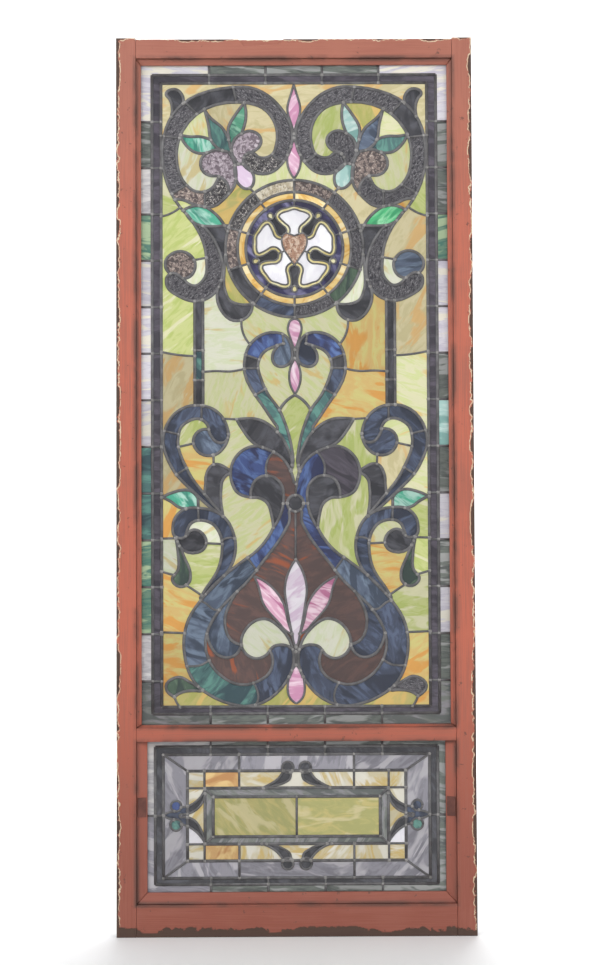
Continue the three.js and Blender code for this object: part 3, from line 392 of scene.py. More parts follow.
# Glass of single cells: the piece, the glass on the left and on the right where they differ, and places
UPPER_CELLS = [
    ("scroll_panes", "charcoal", [(25, 1850), (289, 1780), (190, 1560), (230, 1470)]),
    ("scroll_panes", "charcoal black", [(285, 1870)]),
    ("scroll_panes", "black charcoal", [(200, 1930)]),
    ("scroll_panes", "pepper charcoal", [(80, 1772), (185, 1690)]),
    ("scroll_panes", "brown charcoal", [(232, 1700)]),
    ("scroll_panes", "mauve charcoal", [(105, 1822)]),
    ("scroll_panes", "mauve brown", [(185, 1775)]),
    ("scroll_panes", "black", [(272, 1925), (140, 1430)]),
    ("scroll_panes", "brown slate", [(262, 1540)]),
    ("leaf_panes", "teal slate", [(170, 1850)]),
    ("leaf_panes", "green aqua", [(128, 1880)]),
    ("leaf_panes", "turquoise teal", [(230, 1820)]),
    ("leaf_panes", "turquoise emerald", [(205, 1650)]),
    ("leaf_panes", "orchid aqua", [(117, 1742)]),
    ("leaf_panes", "turquoise", [(260, 998)]),
    ("leaf_panes", "bottle", [(262, 840)]),
    ("ground_panes", "beige", [(40, 1943)]),
    ("ground_panes", "beige olive", [(167, 1885)]),
    ("ground_panes", "beige lime", [(90, 1873)]),
    ("ground_panes", "cream", [(222, 1858)]),
    ("ground_panes", "milk cream", [(240, 1784), (183, 905)]),
    ("ground_panes", "lime", [(305, 1721), (0, 1190)]),
    ("ground_panes", "lime amber", [(255, 1675), (216, 846)]),
    ("ground_panes", "olive beige", [(161, 1663)]),
    ("ground_panes", "milk", [(217, 1510), (99, 648)]),
    ("ground_panes", "olive milk", [(132, 1468)]),
    ("ground_panes", "milk amber", [(198, 1409)]),
    ("ground_panes", "lime beige", [(261, 1411)]),
    ("ground_panes", "beige cream", [(272, 1275)]),
    ("ground_panes", "cream amber", [(150, 1252)]),
    ("ground_panes", "lime cream", [(258, 1134)]),
    ("ground_panes", "amber beige", [(220, 1076)]),
    ("ground_panes", "cream lime", [(101, 963)]),
    ("ground_panes", "amber lime", [(297, 949), (287, 735)]),
    ("ground_panes", "milk lime", [(295, 866)]),
    ("ground_panes", "amber", [(291, 637)]),
    ("ground_panes", "olive", [(0, 523)]),
    ("border_panes", "pearl", [(332, 1930)]),
    ("bar_panes", "black", [(221.5, 1400), (221.5, 1240)]),
    ("bar_panes", "teal black", [(221.5, 1300)]),
    ("heart_panes", "slate navy", [(30, 1328), (200, 1125)]),
    ("heart_panes", "blue", [(70, 1360)]),
    ("heart_panes", "black", [(100, 1310), (90, 1150), (60, 1005), (188, 1055), (240, 905)]),
    ("heart_panes", "navy", [
        (95, 1275), (172, 1155), (265, 1185), (280, 1100), (235, 1030), (260, 945), (190, 950),
        (150, 870),
    ]),
    ("heart_panes", "teal", [(60, 1220), (20, 1140)]),
    ("heart_panes", "blue plum", [(130, 1060)]),
    ("heart_panes", "ember blue", [(40, 1065)]),
    ("vase_panes", "blue", [(55, 895)]),
    ("vase_panes", "slate", [(150, 800)]),
    ("vase_panes", "slate navy", [(222, 690), (178, 690)]),
    ("vase_panes", "teal navy", [(170, 550)]),
    ("vase_panes", "navy", [(50, 570)]),
    ("vase_panes", "bottle charcoal", [(265, 570)]),
    ("ember_panes", "ember", [(100, 780), (185, 640), (90, 600)]),
    ("lily_panes", "lily", [(0, 780)]),
    ("lily_panes", "magenta", [(60, 770)]),
    ("roundel_pane", "black", [(0, 985)]),
    ("jewel_panes", "pink", [(0, 1890), (0, 1780), (0, 1380), (0, 1280), (0, 570)]),
]
LOWER_CELLS = [
    ("lower_horn_panes", "blue navy", [(276, 293)]),
    ("lower_horn_panes", "teal", [(276, 250)]),
    ("lower_horn_panes", "black", [(20, 380), (20, 160), (240, 290), (240, 256), (50, 345), (50, 194)]),
    ("lower_horn_panes", "navy", [(291, 271.5)]),
    ("lower_tile_panes", "orange tile", [(170, 352), (170, 187)]),
    ("lower_tile_panes", "white", [(230, 230)]),
    ("lower_border_panes", "ash grey_green", [(250, 434)]),
    ("lower_border_panes", "grey_lilac grey_green", [(332, 200)]),
]

# Glass of the border's cells down each side from the top, and of the rose's rim round from the top left
BORDER_GLASS = {
    "left": "grey_green ash fern pearl pearl pearl pearl teal teal fern fern ash sage",
    "right": "grey_green grey_green fern pearl pearl grey_green aqua grey_green pearl grey_green pearl"
             " grey_green sage",
}
RIM_GLASS = "oatmeal pepper brown black navy charcoal bottle charcoal charcoal brown"

# The old paint, in metres: features per metre across and along the grain, the two openings of the sash
# as (bottom, top), where its colour changes with the height, the reach of the painted shade and soiling
# along the openings, and the limits of wear and flakes
BRUSH_ACROSS = 420
BRUSH_ALONG = 9
OPENING_HALF = 0.365
OPENINGS = ((0.474, 2.013), (0.073, 0.442))
FOOT_RISE = (0.1, 0.7)
HEAD_RISE = (1.5, 2.03)
SHADE_AND_DIRT_REACH = (0.001, 0.010)
LEAST_WEAR = 0.001
WEAR_RANGE = 0.0095
LEAST_FOOT_WEAR = 0.010
FOOT_WEAR_RANGE = 0.014
FLAKE_LINE = (-0.0016, -0.0004)
FLAKE_END = (0.0003, 0.0011)
BARE_LINE = (-0.0026, -0.0018)
PAINT_RELIEF = 0.0009
METAL_RELIEF = 0.0005

# Panes: how narrow a cell may be and still hold one, in millimetres, the furthest that a corner moves in,
# in gaps, the turn of the streaks in a border, and the side of the sheet that panes are cut from, in metres
NARROWEST_PANE = 1.6
INSET_LIMIT = 2.2
BORDER_SPIN = 0.3
SHEET_SIDE = 5

# Wood: corners this close are one, in metres, and the turns at which a face is flat and an arris wears
MERGED_WITHIN = 1e-5
FLAT_WITHIN = math.radians(1)
ARRIS_FROM = math.radians(40)

# Solder: sides of a dome, its rings as shares of its radius, how deep its foot stands in the lead, in
# millimetres, its least size with what chance adds to a dome and to a side of it, and the share that is
# left of a dome in the rose, with how far inside the innermost ring it starts
SOLDER_SIDES = 9
SOLDER_RINGS = np.array([1.0, 0.85, 0.55, 0.2])
SOLDER_SINK = 0.9
SOLDER_SPREAD = (0.75, 0.3, 0.15)
ROSE_SOLDER = 0.42
ROSE_SOLDER_IN = 4

# Places in the side borders: below the first cross lead, and outside the first border line
FOOT_CELL = 40
BORDER_CELL = 14

# Glass of the rose's cells, as (kind, how far out on its axis, which axis)
PETAL_CELLS = [
    ("white", 65, "petal"), ("straw", 95, "petal"), ("straw", 93.5, "blade"), ("black", 70, "blade"),
]

# Metals, as (roughness, metallic)
METALS = {"lead": (0.5, 0.3), "solder": (0.42, 0.4), "plate": (0.5, 0.2)}

# The stage: floor in metres, lights as (name, place, what they look at, size, watts), and the camera
FLOOR_FLAT = 5.5
FLOOR_CURVE = 3.5
FLOOR_RINGS = (0.001, 0.5, 1.5, 3.0)
WALL_RISE = 3.0
FLOOR_COLOUR = (0.82, 0.82, 0.82)
WORLD_LIGHT = 0.40
LIGHTS = [
    ("key", (-2.6, -3.4, 3.2), (0, 0, 1.1), 2.2, 104),
    ("fill", (2.8, -3.2, 2.2), (0, 0, 1.0), 2.2, 62),
    ("top", (0, -0.6, 4.6), (0, 0, 0.8), 2.5, 42),
    ("behind", (0.5, 3.4, 3.0), (0, 0, 1.0), 2.5, 90),
    ("wall", (0, 2.0, 5.5), (0, 8.5, 2.6), 3.0, 560),
]
CAMERA_LENS = 64.85
CAMERA_PLACE = (-0.00804, -4.0, 0.8999)
CAMERA_TURNS = (1.903, -0.268, 0.244)


def linear(red, green, blue):
    """Screen levels from 0 to 255 as light: ((c + 0.055) / 1.055) to the power 2.4, or c / 12.92 low down."""
    level = np.array((red, green, blue)) / 255
    return tuple(np.where(level > 0.04045, ((level + 0.055) / 1.055) ** 2.4, level / 12.92).tolist())


def colour(name, description, levels):
    """A colour that a user can change, given as screen levels."""
    return FloatVectorProperty(
        name=name, description=description, subtype="COLOR", size=3, min=0, max=1, default=linear(*levels)
    )


def length(name, description, millimetres):
    """A length that a user can change, given in millimetres."""
    return FloatProperty(
        name=name, description=description, default=millimetres * MM, min=0, unit="LENGTH", precision=4
    )


class WindowSizes(bpy.types.PropertyGroup):
    """Sizes of the leads, the panes and the wood."""

    came_width: length("Came width", "Width of the face of a lead", 6.9)
    fine_came_width: length("Fine came width", "Width of the leads across the strips", 5.3)
    rose_came_width: length("Rose came width", "Width of the leads round the petals", 4.0)
    came_proud: length("Came crown", "How far a lead's rounded face stands in front of its flange", 0.5)
    solder_radius: length("Solder radius", "Radius of the solder on a joint", 4.4)
    solder_proud: length("Solder height", "How far the solder stands over the crown of the leads", 0.35)
    pane_gap: length("Pane gap", "From the middle of a lead to the edge of its pane", 0.9)
    pane_tilt: length("Pane tilt", "How far the edge of a pane may stand out of true", 0.28)
    worn_edge: length("Worn edge", "Radius that wear leaves on the arrises of the wood", 1.3)


class WindowColours(bpy.types.PropertyGroup):
    """Colours of the paint, the wood and the metal."""

    paint_head: colour("Paint at the head", "Terracotta paint of the top rail", (160, 98, 80))
    paint_middle: colour("Paint half way up", "Terracotta paint of the stiles", (180, 96, 74))
    paint_foot: colour("Paint at the foot", "Darker paint of the bottom rail", (140, 76, 60))
    paint_worn: colour("Worn paint", "Where the brushed paint is thin", (150, 88, 72))
    cream_coat: colour("Cream coat", "Older cream paint that flakes show", (206, 190, 160))
    bare_wood: colour("Bare wood", "Dark weathered wood of the edges", (86, 66, 54))
    # Dark colour of the soiling spots and of the bare wood's grain, and of the painted shade along the
    # openings
    grime_and_shade: colour("Grime", "Dirt in the corners", (70, 52, 46))
    lead: colour("Lead", "Dull grey lead", (108, 107, 108))
    solder: colour("Solder", "Brighter solder on the joints", (146, 144, 142))
    plate: colour("Repair plate", "Painted metal plate", (112, 66, 56))


GLASS_PARTS = ("body", "streak_and_lighting_speck", "cloud_and_lighting_speck")


class GlassColours(bpy.types.PropertyGroup):
    """Three colours for every kind of glass: its body, its streaks and its clouds, on hammered kinds painted
    glints and shade.
    """

    __annotations__ = {
        f"{kind}_{part}": colour(
            f"{kind.replace('_', ' ').capitalize()} {part}", f"Colour of the {part} of this glass",
            GLASS[kind][place],
        )
        for kind in GLASS
        for place, part in enumerate(GLASS_PARTS)
    }


class Socket:
    """A node's output. Sums on it add Math nodes, or Vector Math nodes where it carries a vector."""

    def __init__(self, shader, output):
        self.shader = shader
        self.output = output

    def compute(self, operation, first, second):
        kind = "ShaderNodeVectorMath" if self.output.type == "VECTOR" else "ShaderNodeMath"
        return self.shader.node(kind, {"operation": operation}, {0: first, 1: second})

    def __add__(self, other):
        return self.compute("ADD", self, other)

    def __radd__(self, other):
        return self.compute("ADD", other, self)

    def __sub__(self, other):
        return self.compute("SUBTRACT", self, other)

    def __rsub__(self, other):
        return self.compute("SUBTRACT", other, self)

    def __mul__(self, other):
        return self.compute("MULTIPLY", self, other)

    def __rmul__(self, other):
        return self.compute("MULTIPLY", other, self)

    def __abs__(self):
        return self.compute("ABSOLUTE", self, 0)

    def low(self, other):
        return self.compute("MINIMUM", self, other)

    def high(self, other):
        return self.compute("MAXIMUM", self, other)


class Shader:
    """A material under construction, and the few nodes that all of them share."""

    def __init__(self, name, roughness):
        self.material = bpy.data.materials.new(name)
        self.material.use_nodes = True
        self.tree = self.material.node_tree
        self.surface = self.tree.nodes["Principled BSDF"]
        self.surface.inputs["Roughness"].default_value = roughness

    def feed(self, socket, value):
        """Links a socket or sets its value, with a fourth part for a colour."""
        if isinstance(value, Socket):
            self.tree.links.new(value.output, socket)
        elif socket.type == "RGBA":
            socket.default_value = (*value, 1)[:4]
        else:
            socket.default_value = value

    def node(self, kind, settings, inputs, output=0):
        """Any node, from its type, its settings and what goes into its sockets, as one of its outputs."""
        made = self.tree.nodes.new(kind)
        for name, value in settings.items():
            setattr(made, name, value)
        for place, value in inputs.items():
            self.feed(made.inputs[place], value)
        return Socket(self, made.outputs[output])

    def noise(self, place, scale, detail=3.0, roughness=0.55, distortion=0.0):
        sockets = {
            "Vector": place, "Scale": scale, "Detail": detail, "Roughness": roughness,
            "Distortion": distortion,
        }
        return self.node("ShaderNodeTexNoise", {}, sockets)

    def step(self, value, low, high):
        """0 below low, 1 above high, and a smooth rise between them."""
        sockets = {0: value, 1: low, 2: high}
        return self.node("ShaderNodeMapRange", {"interpolation_type": "SMOOTHSTEP"}, sockets)

    def mix(self, share, first, second, blend="MIX"):
        """first where share is 0, second where it is 1."""
        choice = {"data_type": "RGBA", "blend_type": blend}
        return self.node("ShaderNodeMix", choice, {0: share, 6: first, 7: second}, 2)

    def finish(self, base, height, depth, roughness=None):
        """Wires the colour, the height of the relief in metres, and a roughness that varies."""
        self.feed(self.surface.inputs["Base Color"], base)
        bump = self.node("ShaderNodeBump", {}, {"Strength": 1.0, "Distance": depth, "Height": height})
        self.feed(self.surface.inputs["Normal"], bump)
        if roughness is not None:
            self.feed(self.surface.inputs["Roughness"], roughness)
        return self.material


def settings(context):
    """The three property groups of this window."""
    scene = context.scene
    return scene.window_sizes, scene.window_colours, scene.window_glass


@lru_cache
def glass_material(kind):
    """Opalescent glass: streaks and clouds drawn on the pane's own sheet, and a rippled face.

    The streaks are noise on coordinates squeezed along the sheet, bent by a second noise. The clouds are
    broad noise cut at the share that is clouded, and the tone of each pane lifts or lowers its colour. On
    the hammered kinds both are fine specks instead, painted glints and painted shade of the rippled face.
    """
    colours = settings(bpy.context)[2]
    share, stretch, ripple = GLASS[kind][3:]
    body, streak_and_lighting_speck, cloud_and_lighting_speck = (tuple(getattr(colours, f"{kind}_{part}")) for part in GLASS_PARTS)
    shade = Shader(f"{kind}_glass", GLASS_ROUGHNESS)
    sheet = shade.node("ShaderNodeUVMap", {"uv_map": "Sheet"}, {})
    tone = shade.node("ShaderNodeAttribute", {"attribute_name": "tone"}, {}, "Fac")
    # Hammered kinds: fine light and dark specks in place of streaks and clouds, painted glints and painted
    # shade
    lighting_speckled = kind in LIGHTING_SPECKLED
    drawn = sheet * (1, stretch, 1)
    streaks_and_lighting_specks = shade.noise(drawn, LIGHTING_SPECK_SCALE if lighting_speckled else STREAK_SCALE, 4.0, 0.6, 1.2)
    cloud_scale = LIGHTING_SPECK_CLOUD_SCALE if lighting_speckled else CLOUD_SCALE
    clouds_and_lighting_specks = shade.noise(drawn + (3.7, 9.1, 0), cloud_scale, 3.0, 0.55, 0.8)
    base = shade.mix(shade.step(streaks_and_lighting_specks, *(LIGHTING_SPECK_RIM if lighting_speckled else STREAK_RIM)), body, streak_and_lighting_speck)
    rim = CLOUD_MIDDLE - share / 2
    base = shade.mix(shade.step(clouds_and_lighting_specks, rim, rim + CLOUD_RIM), base, cloud_and_lighting_speck)
    light = DARKEST_PANE + TONE_RANGE * tone + STREAK_TONE * (streaks_and_lighting_specks - 0.5)
    grey = shade.node("ShaderNodeCombineColor", {}, {0: light, 1: light, 2: light})
    base = shade.mix(1.0, base, grey, "MULTIPLY")
    height = shade.noise(sheet, RIPPLE_SCALE, 3.0) + 0.4 * shade.noise(sheet, FINE_RIPPLE_SCALE, 2.0)
    return shade.finish(base, height, ripple * MM)


@lru_cache
def paint_material(name, along):
    """Old terracotta paint, brushed along the grain and worn away near the outer edges.

    Wear is the distance from the outer edge against a wandering limit: bare wood outside it, and a line
    of the older cream coat along it. Painted shade darkens the paint near the edge of each panel's opening,
    where the face steps down to the recessed bead, broken into patches like soiling.
    """
    colours = settings(bpy.context)[1]
    shade = Shader(name, 0.5)
    place = shade.node("ShaderNodeTexCoord", {}, {}, "Object")
    across = abs(shade.node("ShaderNodeSeparateXYZ", {}, {0: place}, "X"))
    height = shade.node("ShaderNodeSeparateXYZ", {}, {0: place}, "Z")
    squeeze = [BRUSH_ACROSS] * 3
    squeeze["xyz".index(along)] = BRUSH_ALONG
    brush = shade.noise(place * squeeze, 1.0, 3.0, 0.6)
    blotch = shade.noise(place, 7, 4.0, 0.6, 0.6)
    spots = shade.noise(place, 60, 3.0, 0.65)
    wander = shade.noise(place, 24, 4.0, 0.6)

    base = shade.mix(
        shade.step(height, *FOOT_RISE), tuple(colours.paint_foot), tuple(colours.paint_middle)
    )
    base = shade.mix(shade.step(height, *HEAD_RISE), base, tuple(colours.paint_head))
    thin = shade.step(brush + 0.6 * blotch, 0.70, 1.0)
    base = shade.mix(0.75 * thin, base, tuple(colours.paint_worn))

    # Painted shade with some soiling: the paint darkens close to each opening's edge, where the face steps
    # down to the bead
    upper, lower = (
        (across - OPENING_HALF).high(abs(height - (bottom + top) / 2) - (top - bottom) / 2)
        for bottom, top in OPENINGS
    )
    near = abs(upper).low(abs(lower))
    shade_and_dirt = (1 - shade.step(near, *SHADE_AND_DIRT_REACH)) * shade.step(blotch, 0.30, 0.62)
    base = shade.mix(0.75 * shade_and_dirt, base, tuple(colours.grime_and_shade))
    base = shade.mix(0.6 * shade.step(spots, 0.66, 0.72), base, tuple(colours.grime_and_shade))

    inside = (SASH_HALF - across).low(SASH_TOP - height)
    margin = inside - LEAST_WEAR - WEAR_RANGE * shade.step(wander, 0.30, 0.66)
    foot = height - LEAST_FOOT_WEAR - FOOT_WEAR_RANGE * shade.step(wander, 0.35, 0.62)
    flake = (1 - shade.step(margin, *FLAKE_END)) * shade.step(margin, *FLAKE_LINE)
    base = shade.mix(flake * shade.step(spots, 0.36, 0.5), base, tuple(colours.cream_coat))
    bare = (1 - shade.step(margin, *BARE_LINE)).high(1 - shade.step(foot, -0.002, 0.002))
    wood = shade.mix(brush, tuple(colours.bare_wood), tuple(colours.grime_and_shade))
    base = shade.mix(bare, base, wood)
    relief = brush * 0.5 + blotch * 0.8 - bare * 0.9
    return shade.finish(base, relief, PAINT_RELIEF, 0.46 + 0.35 * bare + 0.12 * blotch)


@lru_cache
def metal_material(name, tint):
    """Dull metal with a mottled skin."""
    roughness, metallic = METALS[name]
    shade = Shader(name, roughness)
    shade.surface.inputs["Metallic"].default_value = metallic
    place = shade.node("ShaderNodeTexCoord", {}, {}, "Object")
    blotch = shade.noise(place, 45, 4.0, 0.6)
    dark = tuple(0.6 * part for part in tint)
    base = shade.mix(shade.step(blotch, 0.35, 0.65), dark, tint)
    return shade.finish(base, blotch, METAL_RELIEF)


def fair_curve(points, steps=6):
    """A smooth line through a few points.

    The tangent at a point is u/|u| times |v| plus v/|v| times |u|, for the chords u and v before and
    after it. At an end it is the neighbour's tangent mirrored in the chord. Each span is a Bezier
    curve with handles of chord / (3 cos^2(turn / 4)).
    """
    points = np.array(points, float)
    chord = np.diff(points, axis=0)
    if len(chord) == 1:
        return points
    span = np.linalg.norm(chord, axis=1, keepdims=True)
    unit = chord / span
    inner = unit[:-1] * span[1:] + unit[1:] * span[:-1]
    inner /= np.linalg.norm(inner, axis=1, keepdims=True)
    first = 2 * (inner[0] @ unit[0]) * unit[0] - inner[0]
    last = 2 * (inner[-1] @ unit[-1]) * unit[-1] - inner[-1]
    tangent = np.vstack([first, inner, last])
    turn = np.arccos(np.clip((tangent[:-1] * tangent[1:]).sum(1), -1, 1))
    handle = span / (3 * np.cos(turn / 4) ** 2)[:, None]
    control = np.stack([
        points[:-1], points[:-1] + tangent[:-1] * handle, points[1:] - tangent[1:] * handle, points[1:],
    ])
    t = np.arange(steps) / steps
    share = np.stack([(1 - t) ** 3, 3 * t * (1 - t) ** 2, 3 * t * t * (1 - t), t ** 3])
    return np.vstack([np.einsum("ks,knd->nsd", share, control).reshape(-1, 2), points[-1:]])


def circle(out, up, radius, steps=64):
    """A closed ring of points: (out, up) plus radius times (cos, sin)."""
    angle = np.linspace(0, math.tau, steps + 1)
    return np.array((out, up)) + radius * np.stack([np.cos(angle), np.sin(angle)], 1)


def turned(points, angle):
    """Points given as (along, aside) on an axis at that angle, placed round the rose's middle."""
    along = np.array((math.cos(angle), math.sin(angle)))
    aside = np.array((-along[1], along[0]))
    points = np.asarray(points, float)
    return points[:, :1] * along + points[:, 1:] * aside + (0, ROSE_UP)


def mirrored(lines):
    """The lines and their mirror images in the middle of the window."""
    return lines + [line * (-1, 1) for line in lines]


def rectangle(half, bottom, top):
    """Four straight lines round a border."""
    corners = np.array([(-half, bottom), (half, bottom), (half, top), (-half, top), (-half, bottom)])
    return [corners[side:side + 2] for side in range(4)]


def both_halves(half):
    """A whole outline from its half, given as (along, aside) from the axis outwards and back."""
    half = np.asarray(half, float)
    return np.vstack([half[::-1] * (1, -1), half[1:]])


def outside(points, outline):
    """True where a point lies outside a closed outline: an even number of its sides cross to the right."""
    start, end = outline[:-1], outline[1:]
    up = points[:, None, 1]
    spans = (start[:, 1] > up) != (end[:, 1] > up)
    rise = np.where(end[:, 1] == start[:, 1], 1, end[:, 1] - start[:, 1])
    cross = start[:, 0] + (up - start[:, 1]) * (end[:, 0] - start[:, 0]) / rise
    return (spans & (cross > points[:, None, 0])).sum(1) % 2 == 0


def panel_edge(panel, width):
    """The lead round a panel: its box, less half a came."""
    (_, _, bottom), (half, _, top) = PANEL[panel]
    return half - width / 2, bottom + width / 2, top - width / 2


def rose_leads():
    """The rose: rings and their dividers, petals, the drops between them, and the heart in the middle."""
    rings = [circle(0, ROSE_UP, radius, 80) for radius in ROSE_RINGS]
    parts = math.tau / ROSE_PARTS
    spoke = [(ROSE_RINGS[2], 0), (ROSE_RINGS[0], 0)]
    spokes = [turned(spoke, math.pi / 2 + parts * number) for number in range(ROSE_PARTS)]
    heart = fair_curve(ROSE_HEART) + (0, ROSE_UP)
    whole = np.vstack([heart, (heart * (-1, 1))[::-1]])
    fine = mirrored([heart, np.array(HEART_LEAD) + (0, ROSE_UP)])
    for petal in range(PETALS):
        axis = math.pi / 2 + math.tau * petal / PETALS
        blade = axis + math.pi / PETALS
        for half in (PETAL_EDGE, PETAL_WHITE):
            line = turned(fair_curve(both_halves(half)), axis)
            fine.append(line[outside(line, whole)])
        corners = turned([PETAL_CORNER, (PETAL_CORNER[0], -PETAL_CORNER[1])], axis)
        tip = turned([(BLADE_END, 0)], blade)
        next_corner = turned([(PETAL_CORNER[0], -PETAL_CORNER[1])], axis + math.tau / PETALS)
        fine += [np.vstack([corners[:1], tip]), np.vstack([tip, next_corner])]
        fine.append(turned(fair_curve(both_halves(BLADE_DROP)), blade))
        fine.append(turned([(PETAL_EDGE[0][0], 0), (ROSE_RINGS[2], 0)], axis))
    return rings, spokes, fine


def upper_leads():
    """Lines of the upper panel in three widths: cames, fine cames, and the finer cames of the rose."""
    edge = panel_edge("upper", 6.0)
    half, bottom, top = UPPER_RINGS[-1]
    cames = [line for ring in (edge, *UPPER_RINGS) for line in rectangle(*ring)]
    curves = {name: fair_curve(points) for name, points in UPPER_LEADS.items()}
    is_fine = {name: "cut" in name or "lead" in name or name.startswith(("jewel", "lily")) for name in curves}
    cames += mirrored([line for name, line in curves.items() if not is_fine[name]])
    fine = mirrored([line for name, line in curves.items() if is_fine[name]])
    fine += mirrored([np.array([(edge[0], up), (half, up)]) for up in SIDE_CROSS])
    for out in TOP_CROSS:
        fine += mirrored([np.array([(out, top), (out, edge[2])]), np.array([(out, edge[1]), (out, bottom)])])
    fine += [np.array(line, float) for line in CENTRE_LEADS]
    cames.append(circle(0, ROUNDEL_UP, ROUNDEL_RADIUS, 28))
    rings, spokes, petals = rose_leads()
    return cames + rings, fine + spokes, petals


def lower_leads():
    """Lines of the lower panel: cames and fine cames."""
    edge = panel_edge("lower", 6.0)
    band, tiles, inner, light = LOWER_RINGS[1:]
    cames = [line for ring in (edge, *LOWER_RINGS) for line in rectangle(*ring)]
    fine = [np.array([(0, light[1]), (0, light[2])])]
    halves = [fair_curve(points) for points in LOWER_LEADS.values()]
    halves += [circle(*ball, 22) for ball in LOWER_BALLS]
    for out in TOP_CROSS:
        halves += [np.array([(out, band[2]), (out, edge[2])]), np.array([(out, edge[1]), (out, band[1])])]
    for outer, near in ((band, tiles), (inner, light)):
        halves += [np.array([(outer[0], outer[side]), (near[0], near[side])]) for side in (1, 2)]
    for side in (1, 2):
        halves.append(np.array([(TILE_CROSS, band[side]), (TILE_CROSS, inner[side])]))
        halves.append(np.array([(TILE_CROSS_OUT, tiles[side]), (TILE_CROSS_OUT, inner[side])]))
        halves.append(np.array([(tiles[0], inner[side]), (inner[0], inner[side])]))
    halves.append(np.array([(edge[0], LOWER_MIDDLE), (band[0], LOWER_MIDDLE)]))
    return cames, fine + mirrored(halves), []


def snapped(lines, reach=7.5, touching=3.0, past=0.25):
    """The lines, with each open end carried on to the nearest line within reach, and a little past it.

    The nearest point on a side from a to b is a + t (b - a), with t = (p - a).(b - a) / |b - a|^2 held
    between 0 and 1. A line that passes by is taken before one that only ends there, and within a
    shorter reach where the end already touches another.
    """
    sizes = np.array([len(line) - 1 for line in lines])
    first = np.cumsum(sizes) - sizes
    start = np.vstack([line[:-1] for line in lines])
    side = np.vstack([line[1:] for line in lines]) - start
    square = np.maximum((side ** 2).sum(1), 1e-9)
    heads, tails = np.array([line[0] for line in lines]), np.array([line[-1] for line in lines])
    whole = np.linalg.norm(heads - tails, axis=1) < 1e-6
    joined = []
    for number, line in enumerate(lines):
        for end in (0, -1) if not whole[number] else ():
            point = line[end]
            share = np.clip(((point - start) * side).sum(1) / square, 0, 1)[:, None]
            near = start + share * side
            gap = np.linalg.norm(near - point, axis=1)
            least = np.minimum.reduceat(gap, first)
            least[number] = np.inf
            at_end = np.minimum(np.linalg.norm(heads - point, axis=1), np.linalg.norm(tails - point, axis=1))
            passing = (least < at_end - 0.3) | whole
            limit = touching if np.delete(at_end, number).min() < 1e-4 else reach
            ending = np.where(least < reach, least + reach, np.inf)
            choice = np.where(passing & (least < limit), least, ending)
            best = choice.argmin()
            if np.isfinite(choice[best]) and least[best] > 1e-6:
                spot = first[best] + gap[first[best]:first[best] + sizes[best]].argmin()
                onward = point - line[1 if end == 0 else -2]
                line = line.copy()
                line[end] = near[spot] + onward / max(np.linalg.norm(onward), 1e-9) * past
        joined.append(line)
    return joined


@lru_cache
def leads(panel):
    """The lines of a panel after their ends are joined, with the name of the came width of each."""
    groups = upper_leads() if panel == "upper" else lower_leads()
    widths = [name for name, group in zip(CAME_WIDTHS, groups) for _ in group]
    return snapped(snapped([line for group in groups for line in group])), widths


def flat_cross(first, second):
    """The cross product of rows of flat vectors: x1 y2 - y1 x2."""
    return first[:, 0] * second[:, 1] - first[:, 1] * second[:, 0]


def rotated(points, angle):
    """Points turned about the origin: (x cos - y sin, x sin + y cos)."""
    along, up = points[:, 0], points[:, 1]
    return np.stack([
        along * np.cos(angle) - up * np.sin(angle), along * np.sin(angle) + up * np.cos(angle),
    ], 1)


@lru_cache
def cells(panel):
    """Corners and triangles of a panel, the cell of each triangle, its sides on leads, and the joints.

    The triangles keep to the leads. Two triangles that share a side off the leads take the lower of
    their numbers until nothing changes, so every cell ends with one number.
    """
    lines = leads(panel)[0]
    points = np.vstack(lines)
    ends = np.cumsum([len(line) for line in lines])
    inner = np.setdiff1d(np.arange(len(points) - 1), ends - 1)
    edges = np.stack([inner, inner + 1], 1)
    result = delaunay_2d_cdt(points.tolist(), edges.tolist(), [], 0, 1e-3)
    corners = np.array([tuple(corner) for corner in result[0]])
    triangles = np.array(result[2])
    on_lead = np.array([bool(source) for source in result[4]])
    count = len(corners)
    drawn = np.sort(np.array(result[1])[on_lead], axis=1)
    drawn_key = np.unique(drawn[:, 0] * count + drawn[:, 1])
    sides = np.stack([triangles, np.roll(triangles, -1, 1)], 2).reshape(-1, 2)
    low = np.sort(sides, axis=1)
    key = low[:, 0] * count + low[:, 1]
    fixed = np.isin(key, drawn_key)
    face = np.repeat(np.arange(len(triangles)), 3)
    order = np.argsort(key, kind="stable")
    paired = np.nonzero(key[order][1:] == key[order][:-1])[0]
    first, second = order[paired], order[paired + 1]
    free = ~fixed[first]
    first, second = face[first[free]], face[second[free]]
    label = np.arange(len(triangles))
    while True:
        lowest = np.minimum(label[first], label[second])
        merged = label.copy()
        np.minimum.at(merged, first, lowest)
        np.minimum.at(merged, second, lowest)
        merged = merged[merged]
        if (merged == label).all():
            break
        label = merged
    arms = np.bincount(np.stack([drawn_key // count, drawn_key % count]).ravel(), minlength=count)
    return corners, triangles, label, fixed.reshape(-1, 3), corners[arms > 2]


def region_names(panel, points):
    """The piece of glass at each point: the rings that hold the point are counted from the outside in."""
    rings = UPPER_RINGS if panel == "upper" else LOWER_RINGS
    out, up = np.abs(points[:, 0]), points[:, 1]
    depth = sum(((out < half) & (up > bottom) & (up < top)).astype(int) for half, bottom, top in rings)
    names = np.array(UPPER_REGIONS if panel == "upper" else LOWER_REGIONS)[depth]
    if panel == "upper":
        radius = np.hypot(out, up - ROSE_UP)
        ring = sum((radius < limit).astype(int) for limit in ROSE_RINGS)
        names = np.where(ring > 0, np.array(ROSE_REGIONS)[np.maximum(ring - 1, 0)], names)
    return names


